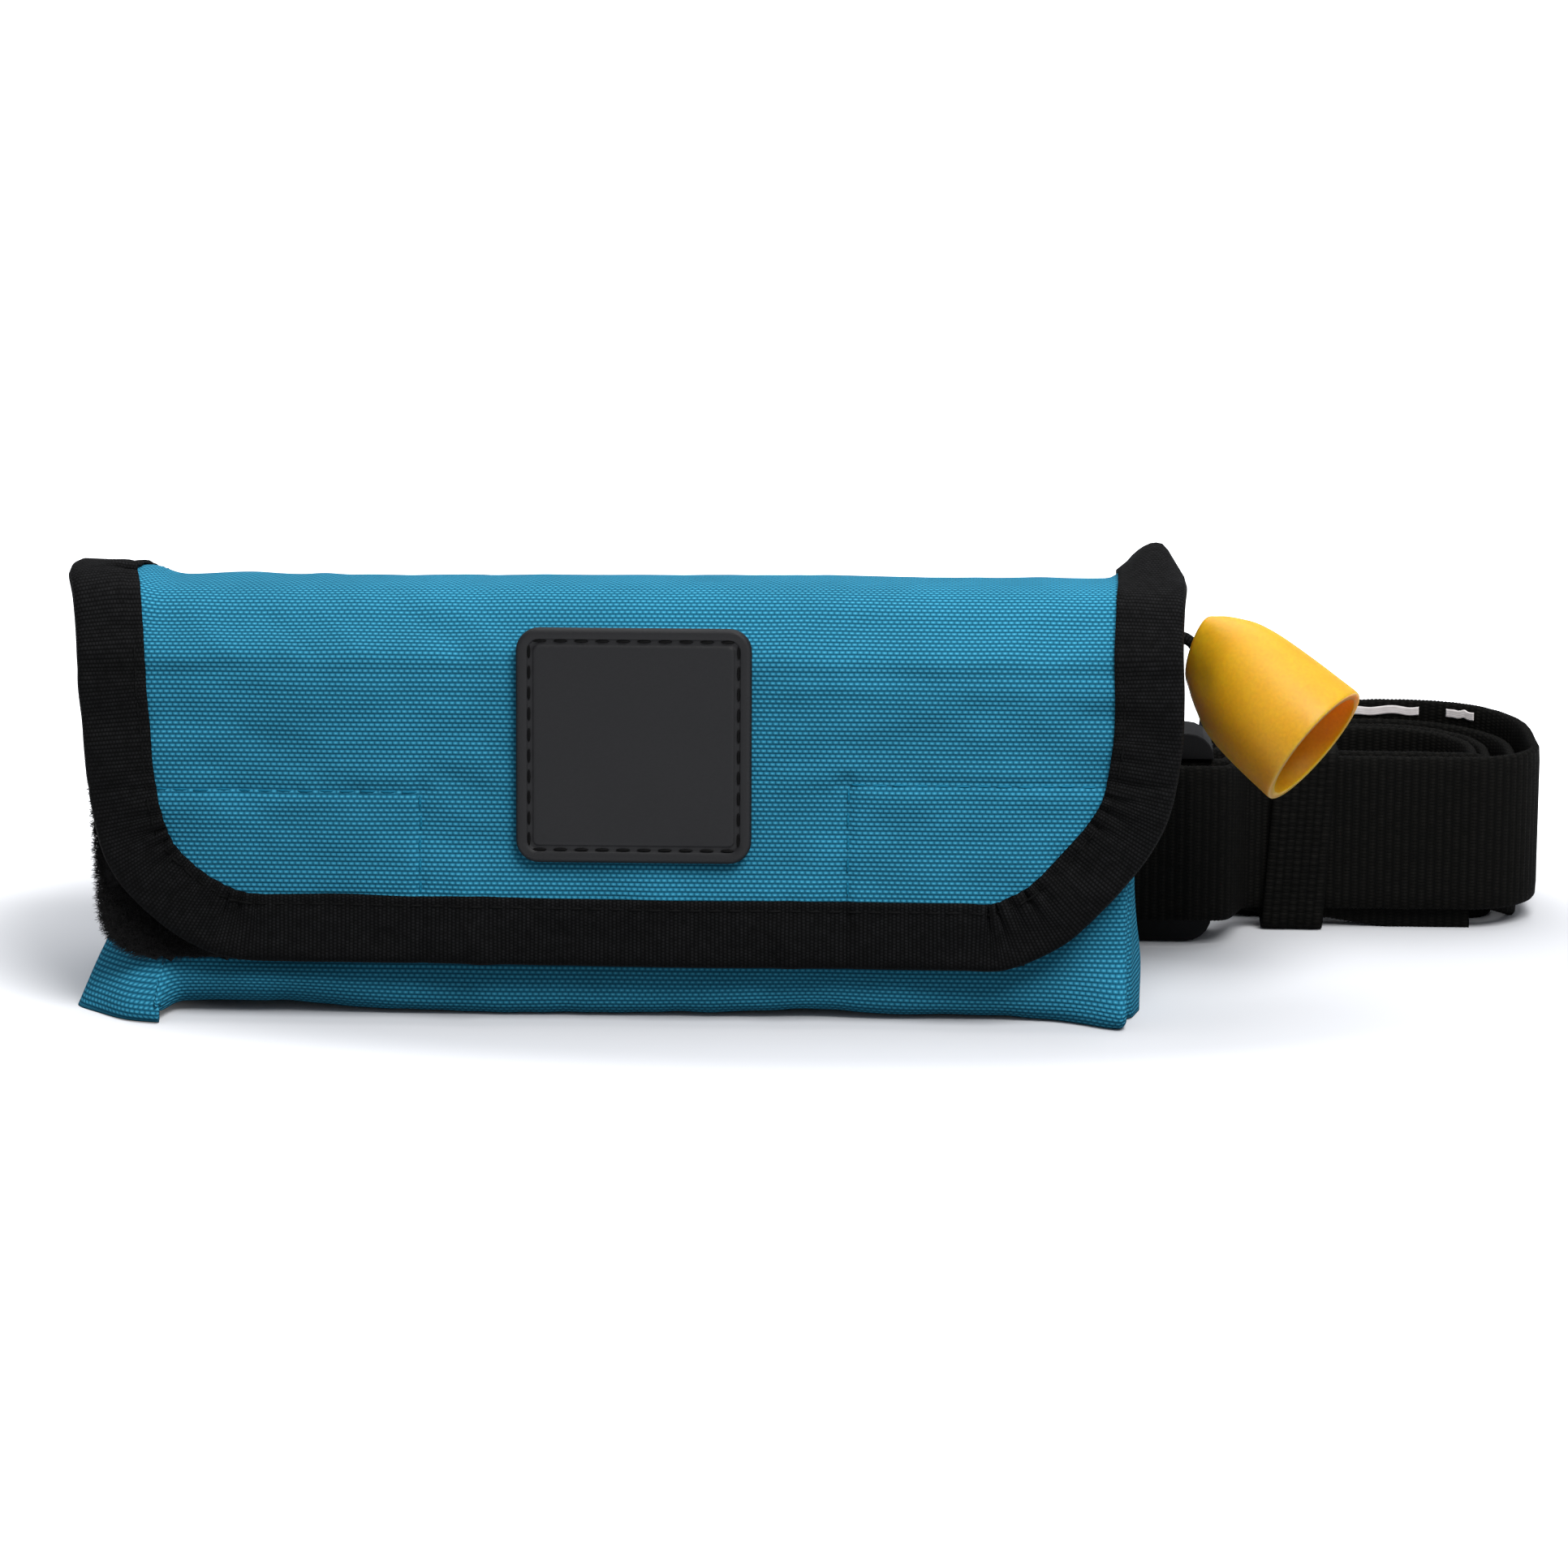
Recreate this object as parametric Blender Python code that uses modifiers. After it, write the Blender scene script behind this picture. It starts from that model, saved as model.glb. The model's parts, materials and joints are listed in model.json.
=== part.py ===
"""Inflatable safety buoy packed in its waist pouch.

A soft fabric pouch holds a folded buoy, a gas cartridge and a pull-lever
inflator. A flap closes it, a cord with a moulded toggle leaves it at the
right, and a rolled waist belt with a side-release buckle runs through two
loops on its back.

World frame in metres: +X right, +Y towards the wearer, +Z up. The origin is
on the surface that the pouch stands on, under the badge.
"""

import math

import bmesh
import bpy
from mathutils import Matrix, Vector

MM = 0.001
DEG = math.pi / 180

# Clearances shared by the whole model
SEAT = 0.3 * MM
RUNNING = 0.4 * MM
OVERRUN = 5 * MM
WELD = 0.001 * MM

# Pouch body
FABRIC = 1.0 * MM
POUCH_LEFT = -71 * MM
POUCH_RIGHT = 75.2 * MM
POUCH_BACK = 21 * MM
LIP_HEIGHT = 50 * MM
BACK_HEIGHT = 57.8 * MM
BOTTOM_RADIUS = 5 * MM
LEAN = 6 * DEG
EAR_LEFT = 10.5 * MM
EAR_RIGHT = 1.2 * MM
EAR_FORWARD_SHARE = 0.6

# Flap
CREST_Y = -20.4 * MM
CREST_Z = 62 * MM
FLAP_LENGTH = 53 * MM
FLAP_HALF_TOP = 83.4 * MM
FLAP_TAPER = 2 * MM
FLAP_HALF_LOW = FLAP_HALF_TOP - FLAP_TAPER
FLAP_CORNER = 31 * MM
TAPE = 0.6 * MM
TAPE_WIDTH = 10.4 * MM
RIDGE_Y = -8 * MM
RIDGE_Z = 65.3 * MM
FLAP_BACK_Y = 20.4 * MM
FLAP_BACK_Z = 60 * MM
CREST_LIFT_SHARE = 0.95
CREST_RUN_SHARE = 0.4
TOP_FALL_SHARE = 1.6

# Hook and loop
HOOK_THICK = 1.0 * MM
LOOP_THICK = 1.0 * MM
HOOK_NEAR_LEFT_SHARE = 0.375
HOOK_NEAR_RIGHT_SHARE = 0.412
HOOK_HEIGHT = 27.5 * MM
LOOP_SPAN = (-78.5 * MM, 60 * MM)
LOOP_TOP = 19 * MM
LOOP_BOTTOM = 52.4 * MM
LOOP_CORNER = 15 * MM

# Badge
BADGE_SIDE_SHARE = 0.829
BADGE_THICK = 1.6 * MM
BADGE_RADIUS = 3 * MM
BADGE_RIM = 2.2 * MM
BADGE_RECESS = 0.4 * MM
BADGE_X = 1.3 * MM
BADGE_DROP_SHARE = 0.458

# Waist belt
WEB_WIDTH = 25 * MM
WEB_THICK = 1.4 * MM
LAYER = 2.0 * MM
BELT_LIFT = 4.7 * MM
WRAP_LIFT = 3.5 * MM
LOOP_WEB = 1.0 * MM
BELT_LOOP_WIDTH = 22 * MM
BELT_LOOP_X = 34 * MM
U_TURN_X = -62 * MM
COIL_NEAR = 37.1 * MM
COIL_RIGHT = 144.5 * MM
COIL_FAR = 87.6 * MM
COIL_LEFT = 84 * MM
COIL_RADII = (12.3 * MM, 27.3 * MM, 16 * MM, 13 * MM)
COIL_TURNS = 1.62
INNER_MERGE_TURNS = (0.08, 0.38)
INNER_SINK_TURNS = 0.2
OUTER_SINK_TURNS = 0.625
TAIL_END_X = 132 * MM
KEEPER_X = 99.4 * MM
JOIN_X = 99 * MM
OUTER_STEP_SHARES = ((0, 0), (0.43, 0.19), (0.585, 0.555), (0.71, 0.87), (1, 1))
TAIL_STEP_SHARES = ((0, 0), (0.186, 0.28), (0.33, 0.70), (0.60, 0.95), (1, 1))
INNER_STEP_SHARES = ((0, 0), (0.2, 0.17), (0.39, 0.67), (0.71, 0.98), (1, 1))
KEEPER_WIDTH = 9.6 * MM
KEEPER_THICK = 1.0 * MM
KEEPER_SLANT = 2 * MM

# Side-release buckle, standing on its edge behind the pouch
BUCKLE_LEFT = 27.7 * MM
BUCKLE_WIDTH = 34 * MM
BUCKLE_THICK = 9.6 * MM
BUCKLE_Y = 32 * MM
FEMALE_LENGTH = 39 * MM
MALE_LENGTH = 23 * MM
MALE_BASE = 5 * MM
BUCKLE_ROUND = 1.4 * MM
BAR_RADIUS = 1.9 * MM
SLOT_LENGTH = 8 * MM
CAVITY_THICK = 6 * MM
CAVITY_WIDTH = 27 * MM
CAVITY_DEPTH = 26 * MM
WINDOW_LENGTH = 12 * MM
WINDOW_INSET = 8 * MM
PRONG_THICK = 4.6 * MM
PRONG_ARM = 3 * MM
PRONG_ROOT_Z = 8.6 * MM
PRONG_LENGTH = 21 * MM
PRONG_HEAD = 4.2 * MM
TONGUE_WIDTH = 4 * MM
TONGUE_LENGTH = 22 * MM

# Gas cartridge and inflator
GAS_Y = 6 * MM
GAS_Z = 29 * MM
GAS_RADIUS = 11 * MM
GAS_LEFT = -66 * MM
GAS_LENGTH = 76 * MM
GAS_END_SHARE = 0.55
NECK_RADIUS = 4.6 * MM
NECK_LENGTH = 13 * MM
SHOULDER = 9 * MM
HOUSING_THICK = 17 * MM
HOUSING_LEFT = 15.5 * MM
HOUSING_RIGHT = 54.5 * MM
HOUSING_TOP = 40.5 * MM
HOUSING_BOTTOM = 6 * MM
HOUSING_FOOT = 42 * MM
HOUSING_ROUND = 1.6 * MM
GASKET_THICK = 1.2 * MM
PIVOT_X = 45 * MM
LEVER_PIN_RADIUS = 1.5 * MM
LEVER_THICK = 3 * MM
LEVER_REACH = 26 * MM
LEVER_START = 32 * DEG
LEVER_SWEEP = 64 * DEG
LEVER_ARM = 5 * MM
LEVER_TIP = 3.2 * MM
CORD_HOLE = 1.2 * MM
CAM_LOW = 6.4 * MM
PIERCE_TRAVEL = 2.4 * MM
PIERCE_RADIUS = 1.6 * MM
PIERCE_FLANGE = 3.2 * MM
PIERCE_BORE = 3.7 * MM
PIERCE_TAIL_SHARE = 0.6
SPRING_WIRE = 0.35 * MM
STEM_X = 29 * MM
STEM_Z = 12.5 * MM
STEM_RADIUS = 3.6 * MM
FLANGE_RADIUS = 9 * MM
FLANGE_THICK = 1.4 * MM
NUT_RADIUS = 6 * MM
NUT_THICK = 3 * MM

# Folded buoy
BUOY_LEFT = -64 * MM
BUOY_RIGHT = 66 * MM
BUOY_TOP = 48.5 * MM
BUOY_BOTTOM = 2.2 * MM
BUOY_SKIN = 1.5 * MM
BUOY_LAYERS = 5
BUOY_FRONT_Y = -15.4 * MM
BUOY_BACK_Y = -7 * MM

# Oral inflation tube with its valve
ORAL_Z = 47 * MM
ORAL_RADIUS = 5 * MM
ORAL_BORE = 3.4 * MM
ORAL_LEFT = -46 * MM
ORAL_RIGHT = -10 * MM
VALVE_RADIUS = 5.6 * MM
VALVE_LENGTH = 9 * MM
POPPET_RADIUS = 1.8 * MM
POPPET_HEAD = 2.8 * MM
POPPET_SINK = 1.1 * MM
ORAL_WIRE = 0.28 * MM
CAP_WALL = 0.9 * MM
CAP_LENGTH = 9 * MM

# Tether that ties the buoy to the pouch
TETHER_WIDTH = 20 * MM
TETHER_THICK = 1.2 * MM
TETHER_SPAN = (-60 * MM, 10 * MM)

# Pull cord and toggle
CORD_RADIUS = 0.9 * MM
CORD_EXIT = (83.8 * MM, 0, 55.2 * MM)
CORD_RUN_SHARES = (0.5, 0.88)
TOGGLE_START = (85.8 * MM, -0.8 * MM, 54 * MM)
TOGGLE_MOUTH = (103.7 * MM, -10 * MM, 40.6 * MM)
TOGGLE_WALL = 1.2 * MM
TOGGLE_RADIUS = 10.4 * MM
TOGGLE_RADIUS_SHARES = (0.16, 0.42, 0.5, 0.565, 0.67, 0.775, 0.875, 0.94, 0.975, 1.0)
TOGGLE_HEIGHT_SHARES = (0.0, 0.0, 0.02, 0.06, 0.125, 0.21, 0.31, 0.46, 0.68, 1.0)
TOGGLE_PINCH_SHARE = 0.42
TOGGLE_SKEW_SHARE = 0.3
KNOT_RADIUS = 2.3 * MM

SIDES = 32


def clear_scene():
    for item in list(bpy.data.objects):
        bpy.data.objects.remove(item, do_unlink=True)


def collection(name):
    found = bpy.data.collections.new(name)
    bpy.context.scene.collection.children.link(found)
    return found


clear_scene()
PARTS = collection("inflatable_safety_buoy")
CUTTERS = collection("cutters")


def material(name, colour, roughness, metallic=0.0):
    made = bpy.data.materials.new(name)
    made.use_nodes = True
    shader = made.node_tree.nodes["Principled BSDF"]
    shader.inputs["Base Color"].default_value = (*colour, 1)
    shader.inputs["Roughness"].default_value = roughness
    shader.inputs["Metallic"].default_value = metallic
    made.diffuse_color = (*colour, 1)
    return made


TEAL = material("teal oxford fabric", (0.02, 0.19, 0.29), 0.75)
BLACK_TAPE = material("black grosgrain tape", (0.012, 0.011, 0.010), 0.85)
BLACK_WEB = material("black webbing", (0.010, 0.010, 0.009), 0.8)
BLACK_LOOP = material("black loop pile", (0.008, 0.008, 0.008), 0.95)
BADGE_RUBBER = material("black moulded rubber", (0.015, 0.015, 0.015), 0.55)
YELLOW = material("yellow soft plastic", (0.80, 0.44, 0.03), 0.45)
BUOY_CLOTH = material("yellow coated nylon", (0.78, 0.52, 0.02), 0.5)
BLACK_PLASTIC = material("black acetal", (0.012, 0.012, 0.012), 0.4)
GREY_PLASTIC = material("dark grey nylon", (0.05, 0.05, 0.055), 0.45)
STEEL = material("stainless steel", (0.55, 0.55, 0.56), 0.3, 1.0)
ZINC = material("zinc plated steel", (0.50, 0.50, 0.48), 0.35, 1.0)
SEAL = material("nitrile rubber", (0.01, 0.01, 0.01), 0.7)


def place(made, paint, group=None):
    """Put an object in its collection and give it its material."""
    (group or PARTS).objects.link(made)
    made.data.materials.clear()
    made.data.materials.append(paint)
    return made


def mesh_object(name, mesh_data, paint, group=None):
    mesh = bpy.data.meshes.new(name)
    mesh_data.to_mesh(mesh)
    mesh_data.free()
    return place(bpy.data.objects.new(name, mesh), paint, group)


def as_cutter(made):
    """Move an object to the cutters, where it is only used by Booleans."""
    for group in list(made.users_collection):
        group.objects.unlink(made)
    CUTTERS.objects.link(made)
    made.hide_render = True
    made.display_type = "WIRE"
    return made


def boolean(made, other, operation):
    step = made.modifiers.new(operation.lower(), "BOOLEAN")
    step.operation = operation
    step.solver = "EXACT"
    step.object = as_cutter(other)
    return made


def cut(made, *others):
    for other in others:
        boolean(made, other, "DIFFERENCE")
    return made


def join(made, *others):
    for other in others:
        boolean(made, other, "UNION")
    return made


def rounded(made, width, segments=2):
    step = made.modifiers.new("edges", "BEVEL")
    step.width = width
    step.segments = segments
    step.limit_method = "ANGLE"
    step.angle_limit = 40 * DEG
    return made


def smooth(made, angle=35 * DEG):
    made.data.shade_smooth()
    made.data.set_sharp_from_angle(angle=angle)
    return made


def frozen(made):
    """Turn a curve into a mesh object of the same name and place."""
    depsgraph = bpy.context.evaluated_depsgraph_get()
    mesh = bpy.data.meshes.new_from_object(made.evaluated_get(depsgraph))
    data = bmesh.new()
    data.from_mesh(mesh)
    bmesh.ops.remove_doubles(data, verts=data.verts, dist=WELD)
    bmesh.ops.recalc_face_normals(data, faces=data.faces)
    data.to_mesh(mesh)
    data.free()
    name = made.name
    solid = bpy.data.objects.new(name + " mesh", mesh)
    solid.matrix_world = made.matrix_world.copy()
    for group in made.users_collection:
        group.objects.link(solid)
    bpy.data.objects.remove(made, do_unlink=True)
    solid.name = name
    return solid


def box(name, low, high, paint, group=None):
    data = bmesh.new()
    bmesh.ops.create_cube(data, size=1)
    size = [high[axis] - low[axis] for axis in range(3)]
    middle = [(high[axis] + low[axis]) / 2 for axis in range(3)]
    bmesh.ops.scale(data, vec=size, verts=data.verts)
    bmesh.ops.translate(data, vec=middle, verts=data.verts)
    return mesh_object(name, data, paint, group)


def cylinder(name, start, end, radius, paint, sides=SIDES, group=None):
    axis = Vector(end) - Vector(start)
    data = bmesh.new()
    bmesh.ops.create_cone(data, cap_ends=True, segments=sides, radius1=radius,
                          radius2=radius, depth=axis.length)
    turn = axis.to_track_quat("Z", "Y").to_matrix().to_4x4()
    middle = (Vector(start) + Vector(end)) / 2
    bmesh.ops.transform(data, matrix=Matrix.Translation(middle) @ turn, verts=data.verts)
    return smooth(mesh_object(name, data, paint, group))


def turned(name, profile, paint, place_at, direction, sides=SIDES):
    """Revolve (radius, height) points, listed from the far end back to the near one."""
    data = bmesh.new()
    points = [data.verts.new((radius, 0, height)) for radius, height in profile]
    for first, second in zip(points, points[1:]):
        data.edges.new((first, second))
    if profile[0][0] > 0:
        data.edges.new((points[-1], points[0]))
    made = mesh_object(name, data, paint)
    made.location = place_at
    made.rotation_euler = Vector(direction).to_track_quat("Z", "Y").to_euler()
    step = made.modifiers.new("revolve", "SCREW")
    step.steps = sides
    step.render_steps = sides
    step.use_merge_vertices = True
    step.merge_threshold = WELD
    step.use_smooth_shade = True
    return made


def plate(name, outline, thickness, paint):
    """A flat outline in local X and Y, its thickness shared either side of local Z zero."""
    curve = bpy.data.curves.new(name, "CURVE")
    curve.dimensions = "2D"
    curve.fill_mode = "BOTH"
    curve.extrude = thickness / 2
    line = curve.splines.new("POLY")
    line.points.add(len(outline) - 1)
    for point, (across, along) in zip(line.points, outline):
        point.co = (across, along, 0, 1)
    line.use_cyclic_u = True
    return frozen(place(bpy.data.objects.new(name, curve), paint))


def standing_plate(name, outline, low_y, high_y, paint):
    """A plate whose outline is in world X and Z, between two values of Y."""
    made = plate(name, outline, high_y - low_y, paint)
    turn = Matrix.Rotation(90 * DEG, 4, "X")
    made.data.transform(Matrix.Translation((0, (low_y + high_y) / 2, 0)) @ turn)
    return made


def arc(centre, radius, start, end, steps):
    """Points along an arc between two angles, both ends included."""
    points = []
    for step in range(steps + 1):
        angle = start + (end - start) * step / steps
        points.append((centre[0] + radius * math.cos(angle), centre[1] + radius * math.sin(angle)))
    return points


def rounded_rectangle(left, right, bottom, top, radius, steps=5):
    corners = ((right - radius, top - radius, 0), (left + radius, top - radius, 90),
               (left + radius, bottom + radius, 180), (right - radius, bottom + radius, 270))
    points = []
    for across, along, turn in corners:
        points += arc((across, along), radius, turn * DEG, (turn + 90) * DEG, steps)
    return points


def strip(name, route, rise, thickness, paint):
    """Fabric or webbing: a line of points drawn out along a vector, then thickened."""
    data = bmesh.new()
    points = [data.verts.new(point) for point in route]
    edges = [data.edges.new(pair) for pair in zip(points, points[1:])]
    drawn = bmesh.ops.extrude_edge_only(data, edges=edges)["geom"]
    moved = [item for item in drawn if isinstance(item, bmesh.types.BMVert)]
    bmesh.ops.translate(data, vec=rise, verts=moved)
    bmesh.ops.recalc_face_normals(data, faces=data.faces)
    made = mesh_object(name, data, paint)
    step = made.modifiers.new("thickness", "SOLIDIFY")
    step.thickness = thickness
    step.offset = 0
    step.use_even_offset = True
    return smooth(made)


def sheet_x(name, section, low_x, high_x, thickness, paint):
    """A strip whose section is in Y and Z, drawn out along X."""
    route = [(low_x, across, up) for across, up in section]
    return strip(name, route, (high_x - low_x, 0, 0), thickness, paint)


def tube(name, points, radius, paint, resolution=2):
    curve = bpy.data.curves.new(name, "CURVE")
    curve.dimensions = "3D"
    curve.bevel_depth = radius
    curve.bevel_resolution = resolution
    curve.use_fill_caps = True
    line = curve.splines.new("POLY")
    line.points.add(len(points) - 1)
    for point, place_at in zip(line.points, points):
        point.co = (*place_at, 1)
    return frozen(place(bpy.data.objects.new(name, curve), paint))


def eased(points, steps):
    """A smooth line through hand-set points, with even steps between them."""
    padded = [points[0], *points, points[-1]]
    line = []
    for first, second, third, fourth in zip(padded, padded[1:], padded[2:], padded[3:]):
        for step in range(steps):
            share = step / steps
            line.append(tuple(
                0.5 * (2 * b + (c - a) * share + (2 * a - 5 * b + 4 * c - d) * share ** 2
                       + (3 * b - a - 3 * c + d) * share ** 3)
                for a, b, c, d in zip(first, second, third, fourth)))
    line.append(tuple(points[-1]))
    return line


def frame(name, location, rotation=(0, 0, 0)):
    """An empty on a joint's axis, which carries the pieces that turn there."""
    made = bpy.data.objects.new(name, None)
    PARTS.objects.link(made)
    made.location = location
    made.rotation_euler = rotation
    return made


def carry(parent, *pieces):
    """Hang pieces on a frame; their own coordinates become the frame's."""
    for piece in pieces:
        piece.parent = parent


def carry_world(parent, *pieces):
    """Hang pieces made in world coordinates on a frame without moving them."""
    bpy.context.view_layer.update()
    for piece in pieces:
        piece.parent = parent
        piece.matrix_parent_inverse = parent.matrix_world.inverted()


# Derived lines of the leaning front. Depth is measured behind the flap's outer face.
STACK_HALF = FABRIC / 2 + SEAT + TAPE
STACK = 2 * STACK_HALF
HOOK_DEPTH = FABRIC + SEAT
LOOP_DEPTH = HOOK_DEPTH + HOOK_THICK + SEAT
FRONT_DEPTH = LOOP_DEPTH + LOOP_THICK + SEAT


def front_point(depth, drop):
    """World Y and Z of a point behind the flap's face and below its crest."""
    across = CREST_Y + depth * math.cos(LEAN) - drop * math.sin(LEAN)
    up = CREST_Z - depth * math.sin(LEAN) - drop * math.cos(LEAN)
    return across, up


def front_outer_y(height):
    """World Y of the pouch's outer front face at a height."""
    across, up = front_point(FRONT_DEPTH, 0)
    return across - (up - height) * math.tan(LEAN)


def wrap_section(inset):
    """The pouch's front, bottom and back in Y and Z, inset from its outer face."""
    radius = BOTTOM_RADIUS - inset
    corner_y = front_outer_y(BOTTOM_RADIUS) + BOTTOM_RADIUS
    section = [(front_outer_y(LIP_HEIGHT) + inset, LIP_HEIGHT)]
    section += arc((corner_y, BOTTOM_RADIUS), radius, 180 * DEG, 270 * DEG, 6)
    section += arc((POUCH_BACK - BOTTOM_RADIUS, BOTTOM_RADIUS), radius, 270 * DEG, 360 * DEG, 6)
    section.append((POUCH_BACK - inset, BACK_HEIGHT))
    return section


def make_wrap():
    """One length of fabric: front, bottom and back."""
    return sheet_x("pouch_wrap", wrap_section(FABRIC / 2), POUCH_LEFT, POUCH_RIGHT, FABRIC, TEAL)


def make_gusset(name, side_x, outward, ear):
    """A side panel, with the loose fabric of its lower seam pushed out as an ear."""
    rows = 9
    columns = 12
    middle_x = side_x + outward * (SEAT + FABRIC / 2)
    data = bmesh.new()
    grid = []
    for row in range(rows + 1):
        height = FABRIC / 2 + (LIP_HEIGHT - FABRIC) * row / rows
        corner = max(BOTTOM_RADIUS - height, 0)
        tuck = BOTTOM_RADIUS - math.sqrt(BOTTOM_RADIUS ** 2 - corner ** 2)
        front = front_outer_y(height) + tuck
        back = POUCH_BACK - tuck
        fade = (1 - row / rows) ** 2
        line = []
        for column in range(columns + 1):
            share = column / columns
            swell = math.sin(math.pi * share ** EAR_FORWARD_SHARE) ** 2
            line.append(data.verts.new((middle_x + outward * ear * swell * fade,
                                        front + (back - front) * share, height)))
        grid.append(line)
    for low, high in zip(grid, grid[1:]):
        for column in range(columns):
            data.faces.new((low[column], low[column + 1], high[column + 1], high[column]))
    bmesh.ops.recalc_face_normals(data, faces=data.faces)
    made = mesh_object(name, data, TEAL)
    step = made.modifiers.new("thickness", "SOLIDIFY")
    step.thickness = FABRIC
    step.offset = 0
    return smooth(made)


def make_loop_strip():
    """The pile strip on the pouch's front, rounded at its lower left corner."""
    left, right = LOOP_SPAN
    outline = [(right, -LOOP_BOTTOM), (right, -LOOP_TOP), (left, -LOOP_TOP)]
    outline += arc((left + LOOP_CORNER, -LOOP_BOTTOM + LOOP_CORNER), LOOP_CORNER,
                   180 * DEG, 270 * DEG, 6)
    made = plate("loop_strip", outline, LOOP_THICK, BLACK_LOOP)
    across, up = front_point(LOOP_DEPTH + LOOP_THICK / 2, 0)
    made.data.transform(Matrix.Translation((0, across, up))
                        @ Matrix.Rotation(90 * DEG - LEAN, 4, "X"))
    return made


def make_belt_loop(name, middle_x):
    """A webbing loop sewn to the back at both ends, standing off to let the belt through."""
    sewn_y = POUCH_BACK + SEAT + LOOP_WEB / 2
    bridge_y = belt_back_y() + WEB_THICK / 2 + RUNNING + LOOP_WEB / 2
    top = BELT_LIFT + WEB_WIDTH
    section = [(sewn_y, LOOP_WEB / 2), (sewn_y, BELT_LIFT - LAYER),
               (bridge_y, BELT_LIFT - LOOP_WEB / 2), (bridge_y, top + LOOP_WEB / 2),
               (sewn_y, top + LAYER), (sewn_y, top + BELT_LIFT)]
    half = BELT_LOOP_WIDTH / 2
    return sheet_x(name, section, middle_x - half, middle_x + half, LOOP_WEB, BLACK_WEB)


def flap_half(drop):
    """Half width of the flap at a drop below its crest, above the corner arc."""
    reach = FLAP_LENGTH - FLAP_CORNER
    return FLAP_HALF_TOP + (FLAP_HALF_LOW - FLAP_HALF_TOP) * drop / reach


def flap_outline(inset, top):
    """The flap's outline in X and local Y, inset from its sides and closed along a top line."""
    reach = FLAP_LENGTH - FLAP_CORNER
    centre_x = FLAP_HALF_LOW - FLAP_CORNER
    radius = FLAP_CORNER - inset
    right = arc((centre_x, -reach), radius, 0, -90 * DEG, 10)
    points = [(flap_half(-top) - inset, top)] + right
    return points + [(-across, along) for across, along in reversed(points)]


def make_front_flap():
    """Everything on the front flap, in the frame of its fold line."""
    fold = frame("flap_front_axis", (0, *front_point(-SEAT - TAPE, 0)),
                 (90 * DEG - LEAN, 0, 0))

    def layer(name, outline, depth, thickness, paint):
        made = plate(name, outline, thickness, paint)
        made.data.transform(Matrix.Translation((0, 0, -SEAT - TAPE - depth - thickness / 2)))
        return made

    slot = FABRIC + 2 * SEAT
    panel = layer("flap_panel", flap_outline(TAPE + SEAT, -SEAT), 0, FABRIC, TEAL)
    binding = layer("flap_binding", flap_outline(0, -SEAT), -SEAT - TAPE, STACK, BLACK_TAPE)
    window = layer("flap window", flap_outline(TAPE_WIDTH, OVERRUN), -OVERRUN, FABRIC + 2 * OVERRUN,
                   BLACK_TAPE)
    groove = layer("flap groove", flap_outline(TAPE, OVERRUN), -SEAT, slot, BLACK_TAPE)
    cut(binding, window, groove)

    hooks = []
    inner = FLAP_CORNER - TAPE_WIDTH - SEAT
    centre_x = FLAP_HALF_LOW - FLAP_CORNER
    reach = FLAP_LENGTH - FLAP_CORNER
    top = FLAP_LENGTH - HOOK_HEIGHT
    for name, side, near_share in (("hook_patch_left", -1, HOOK_NEAR_LEFT_SHARE),
                                   ("hook_patch_right", 1, HOOK_NEAR_RIGHT_SHARE)):
        near = FLAP_HALF_LOW * near_share
        bend = arc((centre_x, -reach), inner, 0, -90 * DEG, 8)
        bend = [point for point in bend if point[1] < -top]
        edge_x = centre_x + math.sqrt(inner ** 2 - (top - reach) ** 2)
        outline = [(near, -top), (edge_x, -top), *bend, (near, bend[-1][1])]
        outline = [(side * across, along) for across, along in outline]
        hooks.append(layer(name, outline, HOOK_DEPTH, HOOK_THICK, BLACK_LOOP))

    clear = FLAP_LENGTH - TAPE_WIDTH
    half = clear * BADGE_SIDE_SHARE / 2
    drop = clear * BADGE_DROP_SHARE
    badge_outline = rounded_rectangle(BADGE_X - half, BADGE_X + half, -drop - half, -drop + half,
                                      BADGE_RADIUS)
    field = half - BADGE_RIM
    field_outline = rounded_rectangle(BADGE_X - field, BADGE_X + field, -drop - field,
                                      -drop + field, BADGE_RADIUS - BADGE_RIM / 2)
    badge = layer("badge", badge_outline, -SEAT - BADGE_THICK, BADGE_THICK, BADGE_RUBBER)
    pocket = layer("badge pocket", field_outline, -SEAT - BADGE_THICK - OVERRUN,
                   OVERRUN + BADGE_RECESS, BADGE_RUBBER)
    cut(badge, pocket)
    carry(fold, panel, binding, window, groove, *hooks, badge, pocket)


def top_section(steps=9):
    """The flap's centre line over the top of the pouch, in Y and Z."""
    start = front_point(FABRIC / 2, -SEAT)
    lift = (RIDGE_Z - start[1]) * CREST_LIFT_SHARE
    first = (start[0] + lift * math.sin(LEAN), start[1] + lift)
    second = (start[0] + (RIDGE_Y - start[0]) * CREST_RUN_SHARE, RIDGE_Z)
    section = []
    for step in range(steps + 1):
        share = step / steps
        left = 1 - share
        section.append(tuple(
            left ** 3 * a + 3 * left ** 2 * share * b + 3 * left * share ** 2 * c + share ** 3 * d
            for a, b, c, d in zip(start, first, second, (RIDGE_Y, RIDGE_Z))))
    for step in range(1, 5):
        share = step / 4
        section.append((RIDGE_Y + (FLAP_BACK_Y - RIDGE_Y) * share,
                        RIDGE_Z + (FLAP_BACK_Z - RIDGE_Z) * share ** TOP_FALL_SHARE))
    return section


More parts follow.
